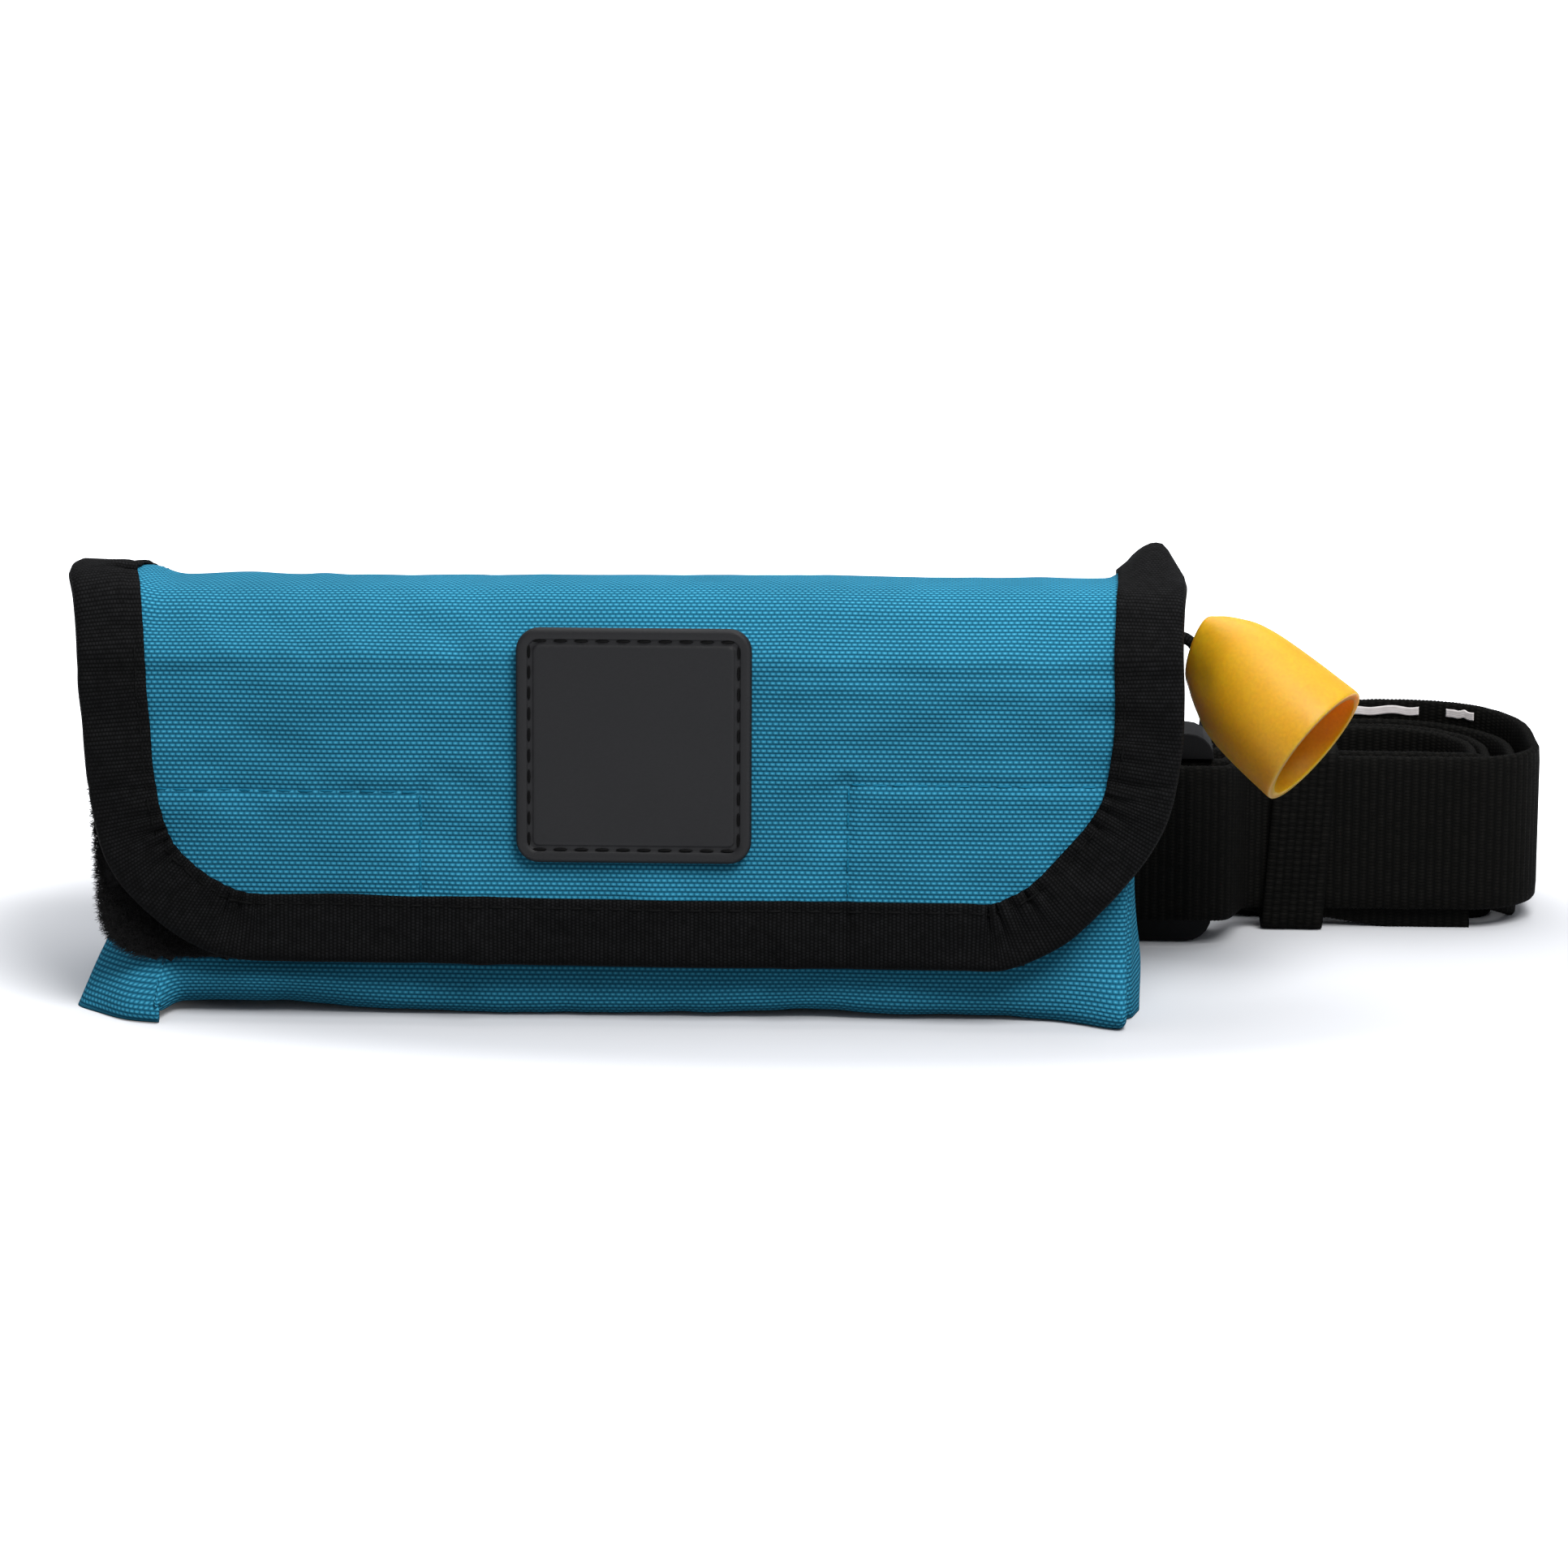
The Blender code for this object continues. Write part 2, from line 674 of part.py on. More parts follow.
def make_top_flap():
    """The part of the flap that lies over the top, with its side bindings."""
    fold = frame("flap_top_axis", (0, FLAP_BACK_Y + STACK_HALF / 2, FLAP_BACK_Z + STACK_HALF))
    section = top_section()
    inner = FLAP_HALF_TOP - TAPE - SEAT
    panel = sheet_x("flap_top_panel", section, -inner, inner, FABRIC, TEAL)
    pieces = [panel]
    for name, side in (("flap_top_binding_left", -1), ("flap_top_binding_right", 1)):
        low, high = sorted((side * (FLAP_HALF_TOP - TAPE_WIDTH), side * FLAP_HALF_TOP))
        binding = sheet_x(name, section, low, high, STACK, BLACK_TAPE)
        low, high = sorted((side * (FLAP_HALF_TOP - TAPE_WIDTH - OVERRUN),
                            side * (FLAP_HALF_TOP - TAPE)))
        longer = [tuple(2 * a - b for a, b in zip(section[0], section[1])), *section,
                  tuple(2 * a - b for a, b in zip(section[-1], section[-2]))]
        groove = sheet_x(name + " groove", longer, low, high, FABRIC + 2 * SEAT, BLACK_TAPE)
        cut(binding, groove)
        pieces += [binding, groove]
    carry_world(fold, *pieces)


def belt_back_y():
    """Y of the belt's centre line where it lies against the pouch's back."""
    return POUCH_BACK + SEAT + LOOP_WEB + RUNNING + WEB_THICK / 2


def coil_arcs():
    """Corner arcs of the rolled belt: near right, far right, far left, near left."""
    near, far, left, right = COIL_NEAR, COIL_FAR, COIL_LEFT, COIL_RIGHT
    first, second, third, fourth = COIL_RADII
    return (((right - first, near + first), first, -90),
            ((right - second, far - second), second, 0),
            ((left + third, far - third), third, 90),
            ((left + fourth, near + fourth), fourth, 180))


def coil_strand(offset, turns, steps=6):
    """A strand of the roll: (x, y, turn) points, offset inwards as a function of the turn."""
    corners = coil_arcs()
    points = []
    quarter = 0
    while quarter < turns * 4:
        (middle_x, middle_y), radius, start = corners[quarter % 4]
        for step in range(steps + 1):
            turn = (quarter + (step + 0.5) / (steps + 1)) / 4
            angle = (start + 90 * step / steps) * DEG
            reach = radius - offset(turn)
            points.append((middle_x + reach * math.cos(angle),
                           middle_y + reach * math.sin(angle), turn))
        quarter += 1
    return [point for point in points if point[2] <= turns]


def outer_offset(turn):
    """The outer strand sinks four layers in its first turn and two in each later one."""
    return LAYER * (4 * turn if turn <= 1 else 4 + 2 * (turn - 1))


def inner_offset(turn):
    """The inner strand lies two layers in beside the tail, then eases to one."""
    start, end = INNER_MERGE_TURNS
    share = max(0, min(1, (turn - start) / (end - start)))
    spare = 1 - share * share * (3 - 2 * share)
    return outer_offset(turn) + LAYER * (1 + spare)


def half_turn(start, end, bulge, steps):
    """A half turn from one point to another, bulging along a unit vector."""
    middle = [(a + b) / 2 for a, b in zip(start, end)]
    across = [(b - a) / 2 for a, b in zip(start, end)]
    radius = math.hypot(*across)
    points = []
    for step in range(1, steps):
        angle = math.pi * step / steps
        points.append(tuple(m - math.cos(angle) * c + math.sin(angle) * radius * d
                            for m, c, d in zip(middle, across, bulge)))
    return points


def bar_front_y():
    return BUCKLE_Y - BAR_RADIUS - SEAT - WEB_THICK / 2 - RUNNING


def bar_back_y():
    return BUCKLE_Y + BAR_RADIUS + SEAT + WEB_THICK / 2 + RUNNING


def female_bar_x():
    return BUCKLE_LEFT + BAR_RADIUS


def male_left():
    return BUCKLE_LEFT + FEMALE_LENGTH + SEAT


def male_right():
    return male_left() + MALE_LENGTH


def male_bar_x():
    return male_left() + MALE_BASE + SLOT_LENGTH / 2 + BAR_RADIUS


def tail_lift():
    """The tail hangs lowest in the keeper, whose lower side rests on the ground."""
    return KEEPER_THICK + RUNNING


def stepped(start, end, shares, low, high):
    """A strand's smooth step from one line to another: (x, y, low edge) points."""
    points = [(start[0] + (end[0] - start[0]) * x, start[1] + (end[1] - start[1]) * y,
               low + (high - low) * x) for x, y in shares]
    return eased(points, 4)


def belt_route():
    """The belt's centre line as (x, y, low edge) points, from its tail to its sewn end."""
    near = COIL_NEAR
    front_y, rear_y = bar_front_y(), bar_back_y()
    # Tail, back through the plug's bar
    bar_x = male_bar_x()
    tail_end = (JOIN_X + LAYER / 2, near + LAYER)
    route = [(TAIL_END_X, near + LAYER, 0), (KEEPER_X + 2 * KEEPER_WIDTH, near + LAYER, 0),
             (KEEPER_X + KEEPER_WIDTH, near + LAYER, tail_lift())]
    route += reversed(stepped((male_right() - SEAT, front_y), tail_end,
                              TAIL_STEP_SHARES, BELT_LIFT, tail_lift()))
    route += [(bar_x, front_y, BELT_LIFT)]
    route += [(*point, BELT_LIFT)
              for point in half_turn((bar_x, front_y), (bar_x, rear_y), (-1, 0), 8)]
    route += [(bar_x, rear_y, BELT_LIFT)]
    # Inner strand into the roll
    route += stepped((male_right() - 2 * BAR_RADIUS, rear_y), (JOIN_X, near + 2 * LAYER),
                     INNER_STEP_SHARES, BELT_LIFT, WRAP_LIFT)
    inner = [(x, y, WRAP_LIFT * max(0, 1 - turn / INNER_SINK_TURNS))
             for x, y, turn in coil_strand(inner_offset, COIL_TURNS)]
    outer = [(x, y, WRAP_LIFT * max(0, min(1, (1 - turn) / OUTER_SINK_TURNS)))
             for x, y, turn in coil_strand(outer_offset, COIL_TURNS)]
    route += [(KEEPER_X + KEEPER_WIDTH, near + 2 * LAYER, WRAP_LIFT)] + inner
    run = (Vector(inner[-1][:2]) - Vector(inner[-2][:2])).normalized()
    route += [(*point, 0) for point in half_turn(inner[-1][:2], outer[-1][:2], tuple(run), 8)]
    route += list(reversed(outer))
    # Outer strand back to the pouch and along its back
    back_y = belt_back_y()
    route += reversed(stepped((male_right() - 2 * BAR_RADIUS, back_y), (JOIN_X, near),
                              OUTER_STEP_SHARES, BELT_LIFT, WRAP_LIFT))
    start, end = (U_TURN_X, back_y), (U_TURN_X, front_y + LAYER)
    route += [(POUCH_RIGHT - FABRIC, back_y, BELT_LIFT), (*start, BELT_LIFT)]
    route += [(*point, BELT_LIFT) for point in half_turn(start, end, (-1, 0), 10)]
    # Return run and the sewn end round the socket's bar
    bar_x = female_bar_x()
    sewn_x = BUCKLE_LEFT - 2 * SLOT_LENGTH
    near_bar_x = BUCKLE_LEFT - SLOT_LENGTH / 2
    route += [(*end, BELT_LIFT), (sewn_x - SLOT_LENGTH, end[1], BELT_LIFT),
              (near_bar_x, front_y, BELT_LIFT), (bar_x, front_y, BELT_LIFT)]
    route += [(*point, BELT_LIFT)
              for point in half_turn((bar_x, front_y), (bar_x, rear_y), (1, 0), 8)]
    route += [(bar_x, rear_y, BELT_LIFT), (near_bar_x, rear_y, BELT_LIFT),
              (sewn_x, end[1] + LAYER, BELT_LIFT), (sewn_x - SLOT_LENGTH, end[1] + LAYER, BELT_LIFT)]
    return route


def least_gap(route, thickness):
    """Least clear distance between parts of the strip that are not neighbours."""
    fine = []
    for (ax, ay, _), (bx, by, _) in zip(route, route[1:]):
        count = max(1, int(math.hypot(bx - ax, by - ay) / MM))
        fine += [(ax + (bx - ax) * step / count, ay + (by - ay) * step / count)
                 for step in range(count)]
    walked = [0]
    for (ax, ay), (bx, by) in zip(fine, fine[1:]):
        walked.append(walked[-1] + math.hypot(bx - ax, by - ay))
    least = None
    for first in range(len(fine)):
        for second in range(first + 1, len(fine)):
            if walked[second] - walked[first] < 4 * LAYER:
                continue
            apart = math.hypot(fine[first][0] - fine[second][0], fine[first][1] - fine[second][1])
            if least is None or apart < least:
                least = apart
    return least - thickness, walked[-1]


def make_belt():
    """The whole belt as one unbroken strip of webbing."""
    route = belt_route()
    gap, length = least_gap(route, WEB_THICK)
    print("belt length %.0f mm, least gap to itself %.2f mm" % (length / MM, gap / MM))
    belt = strip("belt", route, (0, 0, WEB_WIDTH), WEB_THICK, BLACK_WEB)
    return belt


def make_keeper():
    """The elastic keeper round the tail and both strands."""
    low_y = COIL_NEAR - WEB_THICK / 2 - RUNNING
    high_y = COIL_NEAR + 2 * LAYER + WEB_THICK / 2 + RUNNING
    low_z = tail_lift() - RUNNING
    high_z = WRAP_LIFT + WEB_WIDTH + RUNNING
    lean = Matrix.Identity(4)
    lean[0][2] = KEEPER_SLANT / high_z
    middle = Vector((KEEPER_X + (KEEPER_WIDTH - KEEPER_SLANT) / 2, 0, 0))
    outline = rounded_rectangle(low_y - KEEPER_THICK, high_y + KEEPER_THICK,
                                low_z - KEEPER_THICK, high_z + KEEPER_THICK, 2 * KEEPER_THICK)
    inner = rounded_rectangle(low_y, high_y, low_z, high_z, KEEPER_THICK)
    turn = Matrix.Rotation(90 * DEG, 4, "Z") @ Matrix.Rotation(90 * DEG, 4, "X")
    keeper = plate("belt_keeper", outline, KEEPER_WIDTH, BLACK_WEB)
    hole = plate("keeper hole", inner, KEEPER_WIDTH + 2 * OVERRUN, BLACK_WEB)
    for made in (keeper, hole):
        made.data.transform(Matrix.Translation(middle) @ lean @ turn)
    return cut(keeper, hole)


def buckle_body(name, left, right, length_round):
    """A rounded block the buckle's width and thickness, between two values of X."""
    half = BUCKLE_WIDTH / 2
    middle = BELT_LIFT + WEB_WIDTH / 2
    outline = rounded_rectangle(left, right, middle - half, middle + half, length_round)
    made = standing_plate(name, outline, BUCKLE_Y - BUCKLE_THICK / 2, BUCKLE_Y + BUCKLE_THICK / 2,
                          BLACK_PLASTIC)
    return rounded(made, BUCKLE_ROUND)


def make_buckle():
    """Side-release buckle: socket half, plug half and its two squeeze prongs."""
    middle = BELT_LIFT + WEB_WIDTH / 2
    slot_half = WEB_WIDTH / 2 + RUNNING
    cut_half = BUCKLE_THICK
    female = buckle_body("buckle_female", BUCKLE_LEFT, BUCKLE_LEFT + FEMALE_LENGTH, 4 * BUCKLE_ROUND)
    cavity_right = BUCKLE_LEFT + FEMALE_LENGTH + OVERRUN
    cavity_left = BUCKLE_LEFT + FEMALE_LENGTH - CAVITY_DEPTH
    window_right = BUCKLE_LEFT + FEMALE_LENGTH - WINDOW_INSET
    cut(female,
        box("female slot", (BUCKLE_LEFT - OVERRUN, BUCKLE_Y - cut_half, middle - slot_half),
            (BUCKLE_LEFT + SLOT_LENGTH, BUCKLE_Y + cut_half, middle + slot_half), BLACK_PLASTIC),
        box("female cavity", (cavity_left, BUCKLE_Y - CAVITY_THICK / 2, middle - CAVITY_WIDTH / 2),
            (cavity_right, BUCKLE_Y + CAVITY_THICK / 2, middle + CAVITY_WIDTH / 2), BLACK_PLASTIC),
        box("female windows",
            (window_right - WINDOW_LENGTH, BUCKLE_Y - CAVITY_THICK / 2, middle - BUCKLE_WIDTH),
            (window_right, BUCKLE_Y + CAVITY_THICK / 2, middle + BUCKLE_WIDTH), BLACK_PLASTIC))
    bar_low = middle - slot_half - BUCKLE_ROUND
    bar_high = middle + slot_half + BUCKLE_ROUND
    join(female, cylinder("female bar", (female_bar_x(), BUCKLE_Y, bar_low),
                          (female_bar_x(), BUCKLE_Y, bar_high), BAR_RADIUS, BLACK_PLASTIC, 12))

    left, right = male_left(), male_right()
    male = buckle_body("buckle_male", left, right, 3 * BUCKLE_ROUND)
    cut(male, box("male slot", (left + MALE_BASE, BUCKLE_Y - cut_half, middle - slot_half),
                  (right + OVERRUN, BUCKLE_Y + cut_half, middle + slot_half), BLACK_PLASTIC))
    for number, bar_x in enumerate((male_bar_x(), right - BAR_RADIUS)):
        join(male, cylinder("male bar %d" % number, (bar_x, BUCKLE_Y, bar_low),
                            (bar_x, BUCKLE_Y, bar_high), BAR_RADIUS, BLACK_PLASTIC, 12))
    join(male, box("male tongue", (left - TONGUE_LENGTH, BUCKLE_Y - PRONG_THICK / 2,
                                   middle - TONGUE_WIDTH / 2),
                   (left + BUCKLE_ROUND, BUCKLE_Y + PRONG_THICK / 2, middle + TONGUE_WIDTH / 2),
                   BLACK_PLASTIC))

    head_left = window_right - WINDOW_LENGTH + SEAT
    head_right = window_right - SEAT
    edge = BUCKLE_WIDTH / 2 - SEAT
    for name, side in (("buckle_prong_lower", -1), ("buckle_prong_upper", 1)):
        root = frame(name + "_axis", (left - SEAT, BUCKLE_Y, middle + side * PRONG_ROOT_Z))
        tip = left - PRONG_LENGTH
        outer = PRONG_ROOT_Z + PRONG_ARM / 2
        inner = PRONG_ROOT_Z - PRONG_ARM / 2
        outline = [(left - SEAT, inner), (left - SEAT, outer), (head_right, outer),
                   (head_right, edge), (head_left + PRONG_HEAD, edge),
                   (head_left, edge - PRONG_HEAD / 2), (tip, outer), (tip, inner)]
        outline = [(x, middle + side * z) for x, z in outline]
        prong = standing_plate(name, outline, BUCKLE_Y - PRONG_THICK / 2,
                               BUCKLE_Y + PRONG_THICK / 2, BLACK_PLASTIC)
        rounded(prong, 2 * SEAT, 1)
        carry_world(root, prong)


def make_cartridge():
    """Gas cartridge: a drawn steel flask whose narrow neck holds a sunken seal."""
    body = GAS_LENGTH
    end = GAS_RADIUS * GAS_END_SHARE
    mouth = body + NECK_LENGTH
    seal = PIERCE_RADIUS + RUNNING
    profile = [(0, mouth - PIERCE_TRAVEL), (seal, mouth - PIERCE_TRAVEL), (seal, mouth),
               (NECK_RADIUS, mouth), (NECK_RADIUS, body)]
    for step in range(1, 6):
        share = step / 5
        radius = NECK_RADIUS + (GAS_RADIUS - NECK_RADIUS) * math.sin(share * math.pi / 2)
        profile.append((radius, body - SHOULDER * (1 - math.cos(share * math.pi / 2))))
    for step in range(6):
        angle = step / 5 * math.pi / 2
        profile.append((GAS_RADIUS - end + end * math.cos(angle), end - end * math.sin(angle)))
    profile.append((0, 0))
    return turned("co2_cartridge", profile, ZINC, (GAS_LEFT, GAS_Y, GAS_Z), (1, 0, 0))


def neck_end():
    return GAS_LEFT + GAS_LENGTH + NECK_LENGTH


def cam_radius(turn):
    """Cam radius that faces the pin after the lever has turned by an angle."""
    return CAM_LOW + PIERCE_TRAVEL * max(0, min(1, turn / LEVER_SWEEP))


def make_inflator():
    """Moulded housing with ports for the cartridge, the pin, the lever and the buoy's stem."""
    low_y = GAS_Y - HOUSING_THICK / 2
    high_y = GAS_Y + HOUSING_THICK / 2
    crown = HOUSING_TOP - GAS_Z
    foot_rise = GAS_Z - crown
    outline = arc((HOUSING_RIGHT - crown, GAS_Z), crown, -90 * DEG, 90 * DEG, 10)
    outline += [(HOUSING_LEFT, HOUSING_TOP), (HOUSING_LEFT, foot_rise),
                (HOUSING_LEFT + crown / 2, foot_rise - crown / 2),
                (HOUSING_LEFT + crown / 2, HOUSING_BOTTOM), (HOUSING_FOOT, HOUSING_BOTTOM)]
    housing = rounded(standing_plate("inflator_body", outline, low_y, high_y, GREY_PLASTIC),
                      HOUSING_ROUND)
    pin_left = neck_end() + GASKET_THICK + 2 * SEAT
    slot_half = LEVER_THICK / 2 + RUNNING
    slot_reach = CAM_LOW + PIERCE_TRAVEL + RUNNING
    cut(housing,
        cylinder("neck bore", (HOUSING_LEFT - OVERRUN, GAS_Y, GAS_Z), (pin_left, GAS_Y, GAS_Z),
                 NECK_RADIUS + RUNNING, GREY_PLASTIC),
        cylinder("pin bore", (pin_left - SEAT, GAS_Y, GAS_Z), (PIVOT_X, GAS_Y, GAS_Z),
                 PIERCE_BORE, GREY_PLASTIC, 24),
        box("lever slot", (PIVOT_X - slot_reach, GAS_Y - slot_half, GAS_Z - slot_reach),
            (HOUSING_RIGHT + OVERRUN, GAS_Y + slot_half, HOUSING_TOP + OVERRUN), GREY_PLASTIC),
        standing_plate("lever sweep",
                       [(PIVOT_X - slot_reach, GAS_Z), (PIVOT_X + slot_reach, GAS_Z),
                        (PIVOT_X + slot_reach, HOUSING_TOP + OVERRUN),
                        (PIVOT_X - 2 * slot_reach - OVERRUN, HOUSING_TOP + OVERRUN)],
                       GAS_Y - slot_half, GAS_Y + slot_half, GREY_PLASTIC),
        cylinder("pivot bore", (PIVOT_X, low_y - OVERRUN, GAS_Z), (PIVOT_X, high_y + OVERRUN, GAS_Z),
                 LEVER_PIN_RADIUS + SEAT, GREY_PLASTIC, 16),
        cylinder("stem bore", (STEM_X, low_y - OVERRUN, STEM_Z), (STEM_X, high_y + OVERRUN, STEM_Z),
                 STEM_RADIUS + SEAT, GREY_PLASTIC))
    cylinder("lever_pin", (PIVOT_X, low_y - SEAT, GAS_Z), (PIVOT_X, high_y + SEAT, GAS_Z),
             LEVER_PIN_RADIUS, STEEL, 16)
    turned("port_gasket", [(NECK_RADIUS, GASKET_THICK), (NECK_RADIUS, 0),
                           (PIERCE_RADIUS + RUNNING, 0), (PIERCE_RADIUS + RUNNING, GASKET_THICK)],
           SEAL, (neck_end() + SEAT, GAS_Y, GAS_Z), (1, 0, 0), 24)


def make_lever():
    """Trigger lever with a spiral cam round its pivot and an eye for the cord."""
    pivot = frame("trigger_lever_axis", (PIVOT_X, GAS_Y, GAS_Z))
    tip_angle = 90 * DEG + LEVER_START
    tip = (LEVER_REACH * math.cos(tip_angle), LEVER_REACH * math.sin(tip_angle))
    root_angle = math.asin(LEVER_ARM / 2 / CAM_LOW)
    start = tip_angle + root_angle
    sweep = 360 * DEG - 2 * root_angle
    steps = 36
    outline = []
    for step in range(steps + 1):
        angle = start + sweep * step / steps
        reach = cam_radius(angle - 180 * DEG)
        outline.append((reach * math.cos(angle), reach * math.sin(angle)))
    outline += arc(tip, LEVER_TIP, tip_angle - 90 * DEG, tip_angle + 90 * DEG, 10)
    lever = standing_plate("trigger_lever", outline, -LEVER_THICK / 2, LEVER_THICK / 2,
                           GREY_PLASTIC)
    pivot_hole = cylinder("lever pivot hole", (0, -OVERRUN, 0), (0, OVERRUN, 0),
                          LEVER_PIN_RADIUS + SEAT, GREY_PLASTIC, 16)
    cord_hole = cylinder("lever cord hole", (tip[0], -OVERRUN, tip[1]), (tip[0], OVERRUN, tip[1]),
                         CORD_HOLE, GREY_PLASTIC, 12)
    cut(lever, pivot_hole, cord_hole)
    carry(pivot, lever, pivot_hole, cord_hole)
    return PIVOT_X + tip[0], GAS_Z + tip[1]


def make_pierce_pin():
    """Piercing pin with its flange, and the spring that returns it."""
    tip = neck_end() + SEAT * 2
    tail = PIVOT_X - CAM_LOW - SEAT
    length = tail - tip
    flange = length - 2 * PIERCE_TRAVEL
    thick = PIERCE_RADIUS / 2
    pin = turned("pierce_pin",
                 [(0, length), (PIERCE_RADIUS * PIERCE_TAIL_SHARE, length), (PIERCE_RADIUS, length - thick),
                  (PIERCE_RADIUS, flange + thick),
                  (PIERCE_FLANGE, flange + thick), (PIERCE_FLANGE, flange), (PIERCE_RADIUS, flange),
                  (PIERCE_RADIUS, 2 * PIERCE_RADIUS), (0, 0)],
                 STEEL, (tip, GAS_Y, GAS_Z), (1, 0, 0), 24)
    bore_start = neck_end() + GASKET_THICK + 2 * SEAT
    start = bore_start + SPRING_WIRE
    end = tip + flange - SEAT - SPRING_WIRE
    coil_radius = (PIERCE_RADIUS + PIERCE_FLANGE) / 2 + SEAT
    turns = 4
    points = []
    for step in range(turns * 10 + 1):
        angle = 36 * DEG * step
        points.append((start + (end - start) * step / (turns * 10),
                       GAS_Y + coil_radius * math.cos(angle), GAS_Z + coil_radius * math.sin(angle)))
    tube("pierce_spring", points, SPRING_WIRE, STEEL, 1)
    return pin


def buoy_section():
    """Pleats of the folded buoy in Y and Z: tight at the top, looser at the bottom."""
    gap_top = (BUOY_BACK_Y - BUOY_FRONT_Y) / (BUOY_LAYERS - 1)
    front_low = front_outer_y(BUOY_BOTTOM) + FABRIC + SEAT + BUOY_SKIN / 2 + BOTTOM_RADIUS / 2
    gap_low = (BUOY_BACK_Y - front_low) / (BUOY_LAYERS - 1)
    points = []
    for layer in range(BUOY_LAYERS):
        top = (BUOY_FRONT_Y + gap_top * layer, BUOY_TOP - gap_top / 2 - BUOY_SKIN / 2)
        low = (front_low + gap_low * layer, BUOY_BOTTOM + gap_low / 2 + BUOY_SKIN / 2)
        ends = [low, top] if layer % 2 == 0 else [top, low]
        if points:
            bulge = (0, 1) if layer % 2 == 1 else (0, -1)
            points += half_turn(points[-1], ends[0], bulge, 6)
        points += ends
    return points


def make_buoy():
    """The buoy folded in flat pleats, with its welded flange, stem and nut."""
    sheet_x("folded_buoy", buoy_section(), BUOY_LEFT, BUOY_RIGHT, BUOY_SKIN, BUOY_CLOTH)
    face_y = BUOY_BACK_Y + BUOY_SKIN / 2 + SEAT
    high_y = GAS_Y + HOUSING_THICK / 2
    stem_end = high_y + SEAT + NUT_THICK
    turned("buoy_stem",
           [(0, stem_end - face_y), (STEM_RADIUS, stem_end - face_y), (STEM_RADIUS, FLANGE_THICK),
            (FLANGE_RADIUS, FLANGE_THICK), (FLANGE_RADIUS, 0), (0, 0)],
           GREY_PLASTIC, (STEM_X, face_y, STEM_Z), (0, 1, 0), 24)
    nut_y = high_y + SEAT
    nut = cylinder("stem_nut", (STEM_X, nut_y, STEM_Z), (STEM_X, nut_y + NUT_THICK, STEM_Z),
                   NUT_RADIUS, ZINC, 6)
    cut(nut, cylinder("nut bore", (STEM_X, high_y - OVERRUN, STEM_Z),
                      (STEM_X, stem_end + OVERRUN, STEM_Z), STEM_RADIUS + SEAT, ZINC, 24))


def make_oral_valve():
    """Oral inflation tube along the top, with a sprung valve and a pull-off cap."""
    turned("oral_tube",
           [(ORAL_RADIUS, ORAL_RIGHT - ORAL_LEFT), (ORAL_RADIUS, 0), (ORAL_BORE, 0),
            (ORAL_BORE, ORAL_RIGHT - ORAL_LEFT)],
           BLACK_PLASTIC, (ORAL_LEFT, GAS_Y, ORAL_Z), (1, 0, 0), 24)
    body_left = ORAL_LEFT - SEAT - VALVE_LENGTH
    seat = VALVE_LENGTH / 3
    neck = POPPET_RADIUS + RUNNING
    turned("oral_valve_body",
           [(ORAL_BORE - SEAT, VALVE_LENGTH + SEAT + seat), (ORAL_BORE - SEAT, VALVE_LENGTH),
            (VALVE_RADIUS, VALVE_LENGTH), (VALVE_RADIUS, 0), (POPPET_HEAD + RUNNING, 0),
            (POPPET_HEAD + RUNNING, VALVE_LENGTH - seat), (neck, VALVE_LENGTH - seat),
            (neck, VALVE_LENGTH + SEAT + seat)],
           GREY_PLASTIC, (body_left, GAS_Y, ORAL_Z), (1, 0, 0), 24)
    head = POPPET_RADIUS
    shoulder = VALVE_LENGTH - seat
    stem_end = VALVE_LENGTH + seat
    turned("oral_poppet",
           [(0, stem_end), (POPPET_RADIUS, stem_end), (POPPET_RADIUS, head), (POPPET_HEAD, head),
            (POPPET_HEAD, 0), (0, 0)],
           GREY_PLASTIC, (body_left + POPPET_SINK, GAS_Y, ORAL_Z), (1, 0, 0), 24)
    start = body_left + POPPET_SINK + head + ORAL_WIRE + SEAT
    end = body_left + shoulder - ORAL_WIRE - SEAT
    radius = (POPPET_RADIUS + POPPET_HEAD) / 2 + SEAT / 2
    points = []
    for step in range(31):
        angle = 36 * DEG * step
        points.append((start + (end - start) * step / 30, GAS_Y + radius * math.cos(angle),
                       ORAL_Z + radius * math.sin(angle)))
    tube("oral_spring", points, ORAL_WIRE, STEEL, 1)
    inner = VALVE_RADIUS + SEAT
    outer = inner + CAP_WALL
    turned("oral_cap",
           [(outer, CAP_LENGTH), (outer, 0), (0, 0), (0, CAP_WALL), (inner, CAP_WALL),
            (inner, CAP_LENGTH)],
           BLACK_PLASTIC, (body_left - SEAT - CAP_WALL, GAS_Y, ORAL_Z), (1, 0, 0), 24)


def make_tether():
    """Webbing sewn to the back panel that ties the buoy to the pouch."""
    low_z = GAS_Z - TETHER_WIDTH / 2
    back = POUCH_BACK - FABRIC - SEAT - TETHER_THICK / 2
    left, right = TETHER_SPAN
    route = [(left, back, low_z), (right, back, low_z)]
    strip("buoy_tether", route, (0, 0, TETHER_WIDTH), TETHER_THICK, BLACK_WEB)


